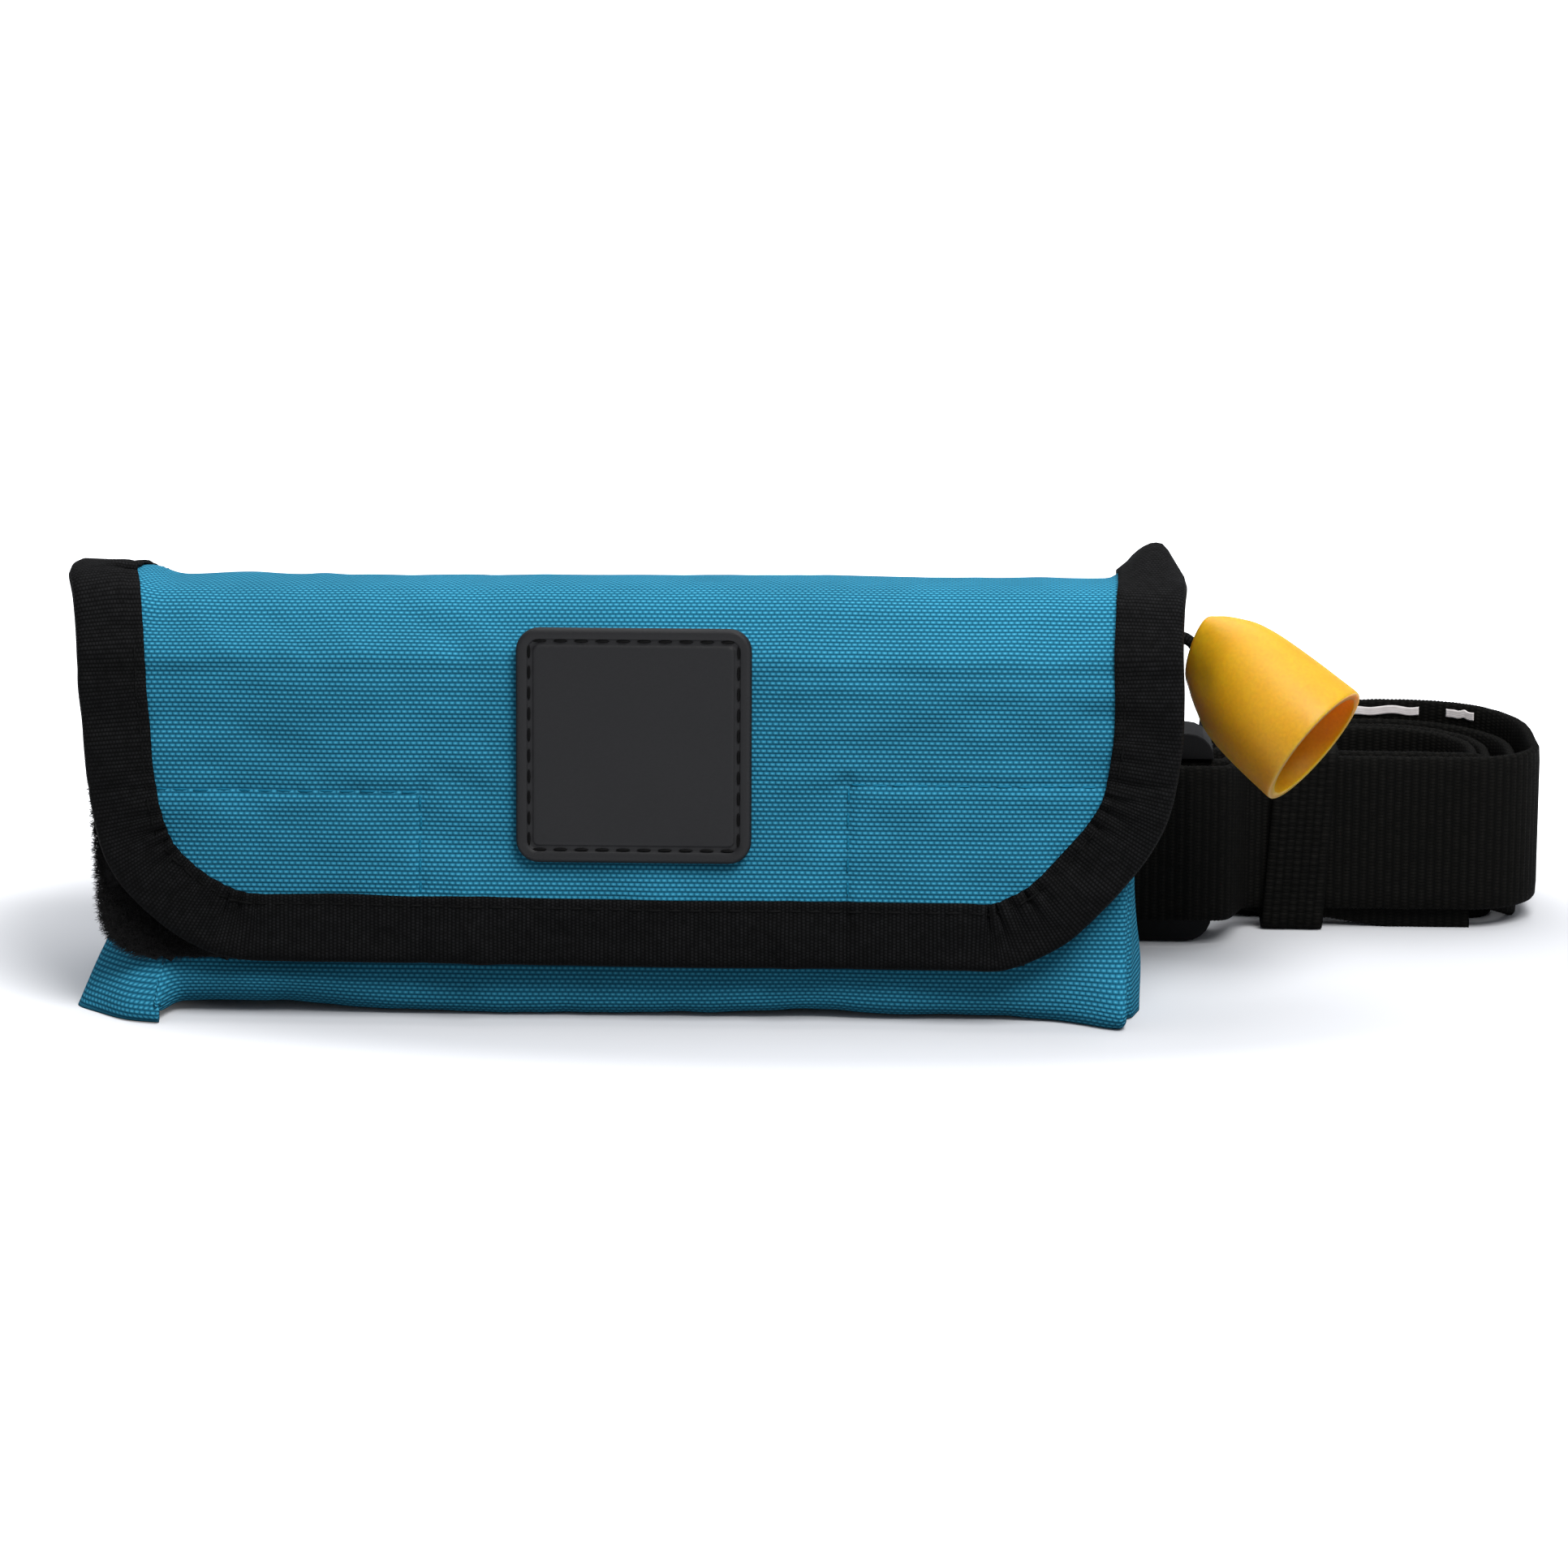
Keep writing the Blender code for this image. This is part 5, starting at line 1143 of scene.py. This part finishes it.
pad = sheet("pile_strip", 220, 60, lambda across, up: pile_point(*pile_spot(across, up)),
            pile_spot, pile, PILE_THICK)
attach(pad, "pouch", "loop_strip")


def hair_root(draw):
    """A point and a direction, at the strip's left edge or at its round corner."""
    if draw.random() < 0.5:
        height = draw.uniform(PILE_LOW, 40)
        x = pile_left_edge(height) + draw.uniform(0, 0.6)
        way = Vector((-1, draw.uniform(-0.8, 0.3), draw.uniform(-0.9, 0.5)))
    else:
        angle = draw.uniform(180, 275) * DEG
        x = PILE_LEFT + PILE_CORNER + PILE_CORNER * math.cos(angle) + draw.uniform(0, 9)
        height = PILE_LOW + PILE_CORNER + PILE_CORNER * math.sin(angle) + draw.uniform(0, 5)
        x = max(x, pile_left_edge(height))
        way = Vector((draw.uniform(-0.8, 0.3), -1, draw.uniform(-0.9, 0.4)))
    return pile_point(x, height, 0.1), way.normalized()


draw = random.Random(7)
strands = bpy.data.curves.new("pile_fuzz", "CURVE")
strands.dimensions = "3D"
strands.bevel_depth = HAIR_RADIUS * MM
strands.bevel_resolution = 0
strands.materials.append(pile)
for _ in range(HAIRS):
    point, way = hair_root(draw)
    length = draw.uniform(0.35, 1.0) * HAIR_LENGTH * MM
    bend = Vector([draw.uniform(-0.8, 0.8) for _ in range(3)])
    middle = point + way * length / 2
    tip = middle + (way + bend).normalized() * length / 2
    hair = strands.splines.new("POLY")
    hair.points.add(2)
    for bead, place, size in zip(hair.points, (point, middle, tip), (1.0, 0.85, 0.4)):
        bead.co = (*place, 1)
        bead.radius = size
attach(show("pile_fuzz", strands), "pouch")
print("pile strip with", len(strands.splines), "hairs")

# %% Hook patches
HOOK_SPANS = (("left", -71.3, -30.6), ("right", 33.6, 71.3))
HOOK_LOW = 21.0
HOOK_HIGH = 36.6
HOOK_DEPTH = 1.35
HOOK_THICK = 1.0

for side, low, high in HOOK_SPANS:
    def hook_spot(across, up, low=low, high=high):
        """Flat place on the patch, whose outer foot is cut round."""
        height = HOOK_LOW + (HOOK_HIGH - HOOK_LOW) * up
        round_off = 3.4 * (1 - up) ** 2.2
        left = low + (round_off if low < 0 else 0)
        right = high - (0 if low < 0 else round_off)
        return left + (right - left) * across, height

    def hook_place(across, up, spot=hook_spot):
        x, height = spot(across, up)
        return Vector((x, front_y(height) + HOOK_DEPTH, height)) * MM

    attach(sheet("hook_pad_" + side, 70, 30, hook_place, hook_spot, pile, HOOK_THICK),
           "front_flap", "hook_patch_" + side)
print("hook patches made")

# %% [markdown]
# ## Waist belt
#
# One strip of 25 mm webbing: from its tail through the buckle's plug, round the roll and back,
# behind the pouch, round at the left and to the buckle's socket. It is a sheet along one centre
# line. The ribs of real webbing run across it, 1.34 mm apart, so the sheet has six steps to
# each rib, and a cosine lifts them on both faces.

# %% Centre line of the belt
WEB_WIDTH = 25.0
WEB_THICK = 1.4
LAYER = 2.0
BELT_LIFT = 4.7
WRAP_LIFT = 3.5
BACK_LINE = 23.4
FRONT_LINE = 28.7
REAR_LINE = 35.3
COIL_NEAR = 37.1
TAIL_END = 132.0
TAIL_LIFT = 1.4
JOIN_X = 99.0
PLUG_BAR = 77.9
PLUG_RIGHT = 90.0
SOCKET_BAR = 29.6
U_TURN_X = -62.0
COIL_TURNS = 1.62
COIL_CORNERS = (((132.2, 49.4), 12.3, -90), ((117.2, 60.3), 27.3, 0),
                ((100.0, 71.6), 16.0, 90), ((97.0, 50.1), 13.0, 180))
OUTER_STEPS = ((0, 0), (0.43, 0.19), (0.585, 0.555), (0.71, 0.87), (1, 1))
TAIL_STEPS = ((0, 0), (0.186, 0.28), (0.33, 0.70), (0.60, 0.95), (1, 1))
INNER_STEPS = ((0, 0), (0.2, 0.17), (0.39, 0.67), (0.71, 0.98), (1, 1))


def coil(offset, sink):
    """Points of a strand of the roll, from the keeper inwards."""
    points = []
    for quarter in range(math.ceil(COIL_TURNS * 4)):
        (middle_x, middle_y), radius, start = COIL_CORNERS[quarter % 4]
        for step in range(13):
            turn = (quarter + (step + 0.5) / 13) / 4
            angle = (start + 90 * step / 12) * DEG
            reach = radius - offset(turn)
            if turn <= COIL_TURNS:
                points.append((middle_x + reach * math.cos(angle),
                               middle_y + reach * math.sin(angle),
                               WRAP_LIFT * max(0, min(1, sink(turn)))))
    return points


def outer_offset(turn):
    """How far the roll's outer strand has wound inwards after so many turns."""
    return LAYER * (4 * turn if turn <= 1 else 4 + 2 * (turn - 1))


def inner_offset(turn):
    """The same for the inner strand, which comes to lie one layer deeper."""
    return outer_offset(turn) + LAYER * (2 - smoothly(0.08, 0.38, turn))


def half_turn(start, end, bulge, height, steps=16):
    """A half turn between two points, bulging along a unit vector."""
    start, end, bulge = Vector(start), Vector(end), Vector(bulge)
    middle, across = (start + end) / 2, (end - start) / 2
    line = [middle - across * math.cos(math.pi * step / steps)
            + bulge * across.length * math.sin(math.pi * step / steps)
            for step in range(1, steps)]
    return [(point.x, point.y, height) for point in line]


def stepped(start, end, shares, lift=WRAP_LIFT):
    """A strand's smooth step from the buckle's height down to the roll's."""
    return curve_through([(start[0] + (end[0] - start[0]) * x, start[1] + (end[1] - start[1]) * y,
                           BELT_LIFT + (lift - BELT_LIFT) * x) for x, y in shares], 8)


inner = coil(inner_offset, lambda turn: 1 - turn / 0.2)
outer = coil(outer_offset, lambda turn: (1 - turn) / 0.625)
run = (Vector(inner[-1][:2]) - Vector(inner[-2][:2])).normalized()
route = [
    # The tail, and up to the plug's bar
    (TAIL_END, COIL_NEAR + LAYER, 0), (118.6, COIL_NEAR + LAYER, 0),
    (109.0, COIL_NEAR + LAYER, TAIL_LIFT),
    *stepped((PLUG_RIGHT - 0.3, FRONT_LINE), (JOIN_X + 1, COIL_NEAR + LAYER), TAIL_STEPS,
             TAIL_LIFT)[::-1],
    (PLUG_BAR, FRONT_LINE, BELT_LIFT),
    *half_turn((PLUG_BAR, FRONT_LINE), (PLUG_BAR, REAR_LINE), (-1, 0), BELT_LIFT),
    # Back to the keeper, into the roll and out again
    (PLUG_BAR, REAR_LINE, BELT_LIFT),
    *stepped((PLUG_RIGHT - 3.8, REAR_LINE), (JOIN_X, COIL_NEAR + 2 * LAYER), INNER_STEPS),
    (109.0, COIL_NEAR + 2 * LAYER, WRAP_LIFT), *inner,
    *half_turn(inner[-1][:2], outer[-1][:2], run, 0), *outer[::-1],
    *stepped((PLUG_RIGHT - 3.8, BACK_LINE), (JOIN_X, COIL_NEAR), OUTER_STEPS)[::-1],
    # Behind the pouch, round at the left and to the socket's bar
    (74.2, BACK_LINE, BELT_LIFT), (U_TURN_X, BACK_LINE, BELT_LIFT),
    *half_turn((U_TURN_X, BACK_LINE), (U_TURN_X, FRONT_LINE + LAYER), (-1, 0), BELT_LIFT),
    (U_TURN_X, FRONT_LINE + LAYER, BELT_LIFT), (3.7, FRONT_LINE + LAYER, BELT_LIFT),
    (23.7, FRONT_LINE, BELT_LIFT), (SOCKET_BAR, FRONT_LINE, BELT_LIFT),
    *half_turn((SOCKET_BAR, FRONT_LINE), (SOCKET_BAR, REAR_LINE), (1, 0), BELT_LIFT),
    (SOCKET_BAR, REAR_LINE, BELT_LIFT), (23.7, REAR_LINE, BELT_LIFT),
    (11.7, FRONT_LINE + 2 * LAYER, BELT_LIFT), (3.7, FRONT_LINE + 2 * LAYER, BELT_LIFT)]
belt_line = Track([Vector(point) * MM for point in route])
print("belt %.0f mm long" % (belt_line.length / MM))

# %% Webbing with its ribs
RIB_STEPS = 6
RIB_RISE = 0.17
EDGE_ROUND = 0.5
EDGE_CUT = 0.12


def webbing_strip(name, line):
    """Ribbed webbing whose two faces are rows of one closed sheet round its section."""
    columns = int(line.length / MM / WEB_RIB * RIB_STEPS)
    half_width, half_thick = WEB_WIDTH / 2, WEB_THICK / 2
    section = [(up, half_thick) for up in (-half_width + EDGE_ROUND, -half_width * 0.8,
                                           -half_width * 0.4, 0, half_width * 0.4,
                                           half_width * 0.8, half_width - EDGE_ROUND)]
    section += [(half_width - EDGE_CUT, half_thick * 0.6), (half_width, 0),
                (half_width - EDGE_CUT, -half_thick * 0.6)]
    section += [(-up, -out) for up, out in section]
    around = len(section)
    walked = [0.0]
    for first, second in zip(section, section[1:] + section[:1]):
        walked.append(walked[-1] + math.dist(first, second))
    cloth = cut(columns, around, lambda along, across: (walked[round(across * around)],
                                                        along * line.length / MM))
    for vert in cloth.verts:
        distance = (vert.co.x + 0.5) * line.length
        up, out = section[round((vert.co.y + 0.5) * around) % around]
        point, way = line.at(distance)
        ahead = line.at(distance + 1.5 * MM)[1] + line.at(distance - 1.5 * MM)[1] + way
        flat = Vector((ahead.x, ahead.y, 0)).normalized()
        across = Vector((flat.y, -flat.x, 0))
        wave = -math.cos(2 * math.pi * distance / MM / WEB_RIB)
        edge = 1 - bump_at(abs(up), half_width, 0.9)
        lifted = out + math.copysign(RIB_RISE * wave * edge, out) if abs(out) > 0.01 else 0
        bumpy = up + math.copysign(0.2 * wave, up) * (1 - edge)
        bumpy += 0.10 * ripple(distance / MM / 4, 3, 1)
        vert.co = point + across * lifted * MM + Vector((0, 0, (half_width + bumpy) * MM))
    return sealed(name, cloth, webbing)


belt = attach(webbing_strip("waist_webbing", belt_line), "waist_belt", "belt")
print("webbing:", len(belt.data.polygons), "faces")

# %% [markdown]
# ## Keeper, belt loops and tether
#
# The keeper is a band of elastic round the belt's tail. Two loops of narrower webbing hold the
# belt to the pouch's back, and another strip ties the folded buoy to the pouch.

# %% Keeper and loops
KEEPER_LEFT = 98.4
KEEPER_SLANT = 0.069
KEEPER_WIDTH = 9.6
KEEPER_WALL = 1.0
KEEPER_GAP = 0.4
KEEPER_ROUND = 1.6
KEEPER_RIB = 1.1
LOOP_WIDTH = 22
LOOP_SECTION = ((21.8, 0.6), (21.8, 1.6), (22.1, 2.6), (24.6, 4.0), (25.0, 5.6), (25.0, 12),
                (25.0, 22), (25.0, 28.8), (24.6, 30.4), (22.1, 31.8), (21.8, 32.8), (21.8, 34.2))


def closed_line(points):
    """Closed points that start and end at the middle of their first side."""
    start = tuple((a + b) / 2 for a, b in zip(points[0], points[1]))
    return [start, *points[1:], points[0], start]


def band(name, node, section, first_x, last_x, thick, body, columns=60, slant=0.0):
    """Narrow webbing along a line in Y and Z, in millimetres, drawn out along X."""
    line = Track(section)

    def spot(across, up):
        return up * line.length, across * (last_x - first_x)

    def place(across, up):
        point, way = line.at(up * line.length)
        out = Vector((way.y, -way.x))
        wave = 0.12 * ripple(across * 3, up * line.length / 6, first_x)
        rib = 0.06 * math.cos(2 * math.pi * up * line.length / KEEPER_RIB)
        edge = 0.5 * thick * (bump_at(across, 0, 0.04) + bump_at(across, 1, 0.04)) * 0.4
        moved = point + out * (wave + rib - edge)
        x = first_x + (last_x - first_x) * across + slant * moved.y
        return Vector((x, moved.x, moved.y)) * MM

    made = sheet(name, columns, max(60, int(line.length / KEEPER_RIB * 5)), place, spot, webbing,
                 thick, 0.0)
    attach(made, body, node)


def rounded_box(low_y, high_y, low_z, high_z, radius, steps=6):
    """Corner points of a rounded rectangle in Y and Z."""
    points = []
    for middle_y, middle_z, start in ((high_y - radius, high_z - radius, 0),
                                      (low_y + radius, high_z - radius, 90),
                                      (low_y + radius, low_z + radius, 180),
                                      (high_y - radius, low_z + radius, 270)):
        for step in range(steps + 1):
            angle = (start + 90 * step / steps) * DEG
            points.append((middle_y + radius * math.cos(angle),
                           middle_z + radius * math.sin(angle)))
    return points


around = KEEPER_GAP + KEEPER_WALL / 2
keeper = rounded_box(COIL_NEAR - WEB_THICK / 2 - around,
                     COIL_NEAR + 2 * LAYER + WEB_THICK / 2 + around,
                     TAIL_LIFT - around, WRAP_LIFT + WEB_WIDTH + around, KEEPER_ROUND)
band("elastic_keeper", "belt_keeper", closed_line(keeper),
     KEEPER_LEFT, KEEPER_LEFT + KEEPER_WIDTH, KEEPER_WALL, "waist_belt", slant=KEEPER_SLANT)
for side, middle in (("left", -34.0), ("right", 34.0)):
    band("belt_loop_webbing_" + side, "belt_loop_" + side, curve_through(LOOP_SECTION, 6),
         middle - LOOP_WIDTH / 2, middle + LOOP_WIDTH / 2, 0.95, "pouch", 44)
band("buoy_tether_webbing", "buoy_tether", [(19.1, 19.0), (19.1, 29.0), (19.1, 39.0)], -60.0, 10.0,
     1.1, "pouch", 90)
print("keeper, belt loops and tether made")

# %% [markdown]
# ## Pull toggle
#
# The toggle is blow moulded from soft yellow polyethylene: a cup with a round mouth whose closed
# end is pinched flat, where the cord comes through. A profile is spun round its axis, then the
# closed end is squeezed and skewed, and one thumb-sized dimple is pressed in beside the cord.

# %% Toggle
TOGGLE_START = Vector((85.8, -0.8, 54.0)) * MM
TOGGLE_MOUTH = Vector((103.7, -10.0, 40.6)) * MM
TOGGLE_RADIUS = 10.4
TOGGLE_WALL = 1.15
TOGGLE_PROFILE = ((0.115, 0.03), (0.17, 0.006), (0.30, 0.0), (0.42, 0.004), (0.50, 0.022),
                  (0.565, 0.06), (0.67, 0.125), (0.775, 0.21), (0.875, 0.31), (0.94, 0.46),
                  (0.975, 0.68), (0.99, 0.86), (1.0, 0.975), (0.985, 0.997))
TOGGLE_PINCH = 0.42
TOGGLE_SKEW = 0.3
TOGGLE_STEPS = 96
DIMPLE = Vector((88.9, -6.2, 49.6)) * MM
DIMPLE_DEEP = 0.9
DIMPLE_WIDE = 2.6

toggle_length = (TOGGLE_MOUTH - TOGGLE_START).length / MM
toggle_turn = (TOGGLE_MOUTH - TOGGLE_START).to_track_quat("Z", "Y").to_matrix().to_4x4()
toggle_place = Matrix.Translation(TOGGLE_START) @ toggle_turn @ Matrix.Scale(MM, 4)
outer_wall = curve_through([(TOGGLE_RADIUS * radius, toggle_length * height)
                            for radius, height in TOGGLE_PROFILE], 5)
inner_wall = [(max(radius - TOGGLE_WALL, TOGGLE_PROFILE[0][0] * TOGGLE_RADIUS),
               max(height, TOGGLE_WALL)) for radius, height in outer_wall
              if radius > TOGGLE_PROFILE[0][0] * TOGGLE_RADIUS + TOGGLE_WALL]

cup = bmesh.new()
rim = [cup.verts.new((radius, 0, height)) for radius, height in outer_wall + inner_wall[::-1]]
ring = [cup.edges.new(pair) for pair in zip(rim, rim[1:] + rim[:1])]
bmesh.ops.spin(cup, geom=rim + ring, axis=(0, 0, 1), cent=(0, 0, 0), steps=TOGGLE_STEPS,
               angle=2 * math.pi, use_merge=True)
bmesh.ops.remove_doubles(cup, verts=cup.verts, dist=0.001)
bmesh.ops.recalc_face_normals(cup, faces=cup.faces)
for vert in cup.verts:
    near = max(0.0, 1 - vert.co.z / toggle_length)
    beyond = smoothly(1.3, 2.4, vert.co.xy.length)
    vert.co.z -= TOGGLE_SKEW * vert.co.y * near * beyond
    vert.co.x *= 1 - TOGGLE_PINCH * near ** 2 * beyond
cup.normal_update()
bmesh.ops.transform(cup, matrix=toggle_place, verts=cup.verts)
cup.normal_update()
for vert in cup.verts:
    if vert.normal.dot(back) > 0.2:
        press = DIMPLE_DEEP * bump_at((vert.co - DIMPLE).length / MM, 0, DIMPLE_WIDE)
        vert.co -= vert.normal * press * MM
toggle = finished("pull_toggle_cup", cup, soft_yellow)
attach(toggle, "pull_toggle", "toggle")
print("toggle %.1f mm long," % toggle_length, len(toggle.data.polygons), "faces")

# %% [markdown]
# ## Pull cord and knots
#
# A braided cord runs from the lever's eye, along the top of the pouch and out beside the flap into
# the toggle, with a stopper knot at each end. The cord is a tube round one smooth line. A knot is
# a tube round a trefoil, drawn so tight that it looks like a lump of strands.

# %% Cord
CORD_RADIUS = 0.9
CORD_ROUTE = [(31.22, 4.5, 51.05), (31.22, 6.0, 51.05), (31.22, 7.5, 51.05), (31.22, 8.4, 51.05),
              (32.29, 9.9, 52.12), (34.42, 10.7, 54.25), (41.31, 9.2, 54.25),
              (64.4, 3.0, 55.2), (79.14, 0.72, 55.2), (83.8, 0.0, 55.2), (85.58, -0.69, 54.17),
              (86.39, -1.1, 53.56)]


def braided_tube(name, points, radius, ends=True):
    """A tube of cord round a line of points in millimetres, with its braid in a UV map."""
    line = Track([Vector(point) * MM for point in points])
    around = 14
    columns = max(24, int(line.length / MM * 2.2))
    tube = cut(columns, around, lambda along, across: (across * 2 * math.pi * radius,
                                                       along * line.length / MM))
    rings = {}
    for vert in tube.verts:
        rings.setdefault(round((vert.co.x + 0.5) * columns), []).append(vert)
    side = Vector((0.3, 0.5, 0.81))
    for number in sorted(rings):
        mark = number / columns * line.length
        ahead = line.at(min(mark + 0.3 * MM, line.length))[0]
        behind = line.at(max(mark - 0.3 * MM, 0))[0]
        way = (ahead - behind).normalized()
        side = (side - way * side.dot(way)).normalized()
        up = way.cross(side)
        for vert in rings[number]:
            angle = 2 * math.pi * (vert.co.y + 0.5)
            strand = 0.05 * math.cos(4 * angle + mark / MM * 2.6)
            reach = (radius + strand) * MM
            vert.co = line.at(mark)[0] + (side * math.cos(angle) + up * math.sin(angle)) * reach
    return sealed(name, tube, braid, ends)


cord_line = curve_through(CORD_ROUTE, 6)
cord = braided_tube("pull_cord_braid", cord_line, CORD_RADIUS)
attach(cord, "pull_cord", "trigger_cord")

# %% Knots
KNOT_RADIUS = 2.3
KNOT_STEPS = 90


def knot(name, body, node, turn):
    """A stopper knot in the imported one's place: a tube round a small trefoil."""
    low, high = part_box(node)
    middle = (low + high) / 2 / MM
    strand = 0.72
    scale = (KNOT_RADIUS - strand) / 3.0
    points = []
    for step in range(KNOT_STEPS + 1):
        angle = 2 * math.pi * step / KNOT_STEPS
        spot = Vector((math.sin(angle) + 2 * math.sin(2 * angle),
                       math.cos(angle) - 2 * math.cos(2 * angle), -1.5 * math.sin(3 * angle)))
        points.append(middle + turn @ (spot * scale))
    attach(braided_tube(name, points, strand, ends=False), body, node)


knot("toggle_knot", "pull_toggle", "cord_knot", toggle_turn.to_3x3())
knot("lever_eye_knot", "lever", "lever_knot", Matrix.Rotation(90 * DEG, 3, "X"))
cord_path = [[value * MM for value in point] for point in cord_line]
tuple(cord_path[0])

# %% [markdown]
# ## Pale strip in the roll
#
# Inside the roll a thin pale woven strip shows just below the rim of the farthest strand.
# It lies on the belt and follows the belt's line.

# %% Pale strip
STRIP_SPANS = ((113.5, 126.9), (132.0, 137.9))
STRIP_TOP = 24.1
STRIP_LOW = 22.7
STRIP_OFF = 0.98
STRIP_THICK = 0.14

walked_belt = [(belt_line.at(step * MM)[0], step) for step in range(int(belt_line.length / MM))]
far_mark = max((point.y, step) for point, step in walked_belt
               if abs(point.x - 110 * MM) < 0.7 * MM)[1]
far_point, far_way = belt_line.at(far_mark * MM)
far_sign = 1 if far_way.x > 0 else -1


def strip_spot(across, up):
    """Flat place on the label, in millimetres."""
    return 12 * across, STRIP_LOW + (STRIP_TOP - STRIP_LOW) * up


for number, (first_x, last_x) in enumerate(STRIP_SPANS):
    def strip_place(across, up, first_x=first_x, last_x=last_x):
        along = first_x + (last_x - first_x) * across - far_point.x / MM
        point, way = belt_line.at((far_mark + far_sign * along) * MM)
        inward = Vector((-way.y, way.x, 0)).normalized()
        if inward.y > 0:
            inward.negate()
        sag = 0.3 * ripple(across * 4, number, 6)
        height = point.z / MM + strip_spot(across, up)[1] + sag
        flat = Vector((point.x, point.y, 0)) + inward * STRIP_OFF * MM
        return flat + Vector((0, 0, height * MM))

    attach(sheet("pale_strip_piece_%d" % (number + 1), 24, 6, strip_place, strip_spot, pale_strip_cloth,
                 STRIP_THICK, 0.0), "waist_belt")
print("pale strip on the strand at y %.1f mm" % (far_point.y / MM))

# %% [markdown]
# ## Folded buoy
#
# The buoy is welded from nylon with a yellow coating and lies folded in flat pleats. One sheet
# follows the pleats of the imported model, with the soft waves that folded cloth keeps.

# %% Pleated buoy
BUOY_LEFT = -64.0
BUOY_RIGHT = 66.0
BUOY_SKIN = 1.3
BUOY_WAVE = 0.22
PLEATS = [(-18.2, 3.4), (-15.4, 46.7), (-14.4, 47.7), (-13.3, 46.7), (-15.4, 3.6), (-14.0, 2.9),
          (-12.6, 3.6), (-11.2, 46.7), (-10.2, 47.7), (-9.1, 46.7), (-9.8, 3.6), (-8.4, 2.9),
          (-7.0, 3.6), (-7.0, 47.6)]
buoy_line = Track([(y * MM, z * MM) for y, z in PLEATS])
print("pleats %.0f mm long" % (buoy_line.length / MM))


def buoy_spot(across, up):
    """Flat place on the folded cloth, in millimetres."""
    return BUOY_LEFT + (BUOY_RIGHT - BUOY_LEFT) * across, up * buoy_line.length / MM


def buoy_place(across, up):
    """World point on the pleated cloth."""
    x, walked = buoy_spot(across, up)
    point, way = buoy_line.at(walked * MM)
    out = Vector((way.y, -way.x))
    wave = BUOY_WAVE * ripple(x / 11, point.y / MM / 9, walked / 46)
    moved = point + out * wave * MM
    return Vector((x * MM, moved.x, moved.y))


buoy = sheet("pleated_buoy", 130, 170, buoy_place, buoy_spot, coated, BUOY_SKIN, 0.0)
attach(buoy, "pouch", "folded_buoy")
print("buoy:", len(buoy.data.polygons), "faces")

# %% [markdown]
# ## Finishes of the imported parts
#
# The buckle, the gas cartridge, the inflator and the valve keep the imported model's shapes. Each
# gets the finish of its real material.

# %% Finishes of the hard parts
PART_FINISHES = (
    (acetal, "buckle_female buckle_male buckle_prong_lower buckle_prong_upper oral_cap"),
    (nylon, "inflator_body trigger_lever buoy_stem oral_valve_body oral_poppet"),
    (nitrile, "oral_tube port_gasket"), (zinc, "co2_cartridge stem_nut"),
    (stainless, "lever_pin pierce_pin"))

for paint, names in PART_FINISHES:
    for name in names.split():
        part = frame["nodes"][name]
        part.data.materials.clear()
        part.data.materials.append(paint)
print("finishes on the packed parts")

# %% [markdown]
# ## Springs
#
# Two small return springs get shorter as their pin or poppet is pressed in. An imported part keeps
# its length, so a copy of each coil stands for it.

# %% Copies of the springs
SPRINGS = (("pierce_spring", "pin_slide", 2.4, 0), ("oral_spring", "poppet_press", 2.0, 1))

for name, joint, travel, seated in SPRINGS:
    part = frame["nodes"][name]
    wire = bmesh.new()
    wire.from_mesh(part.data)
    bmesh.ops.remove_doubles(wire, verts=wire.verts, dist=0.001 * MM)
    made = attach(finished(name + "_coil", wire, stainless), body_of(part)[0],
                  name)
    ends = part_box(name)
    length = (ends[1] - ends[0]).x / MM
    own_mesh(made)
    print("%s: %.1f mm long, shortened by %.1f mm" % (made.name, length, travel))
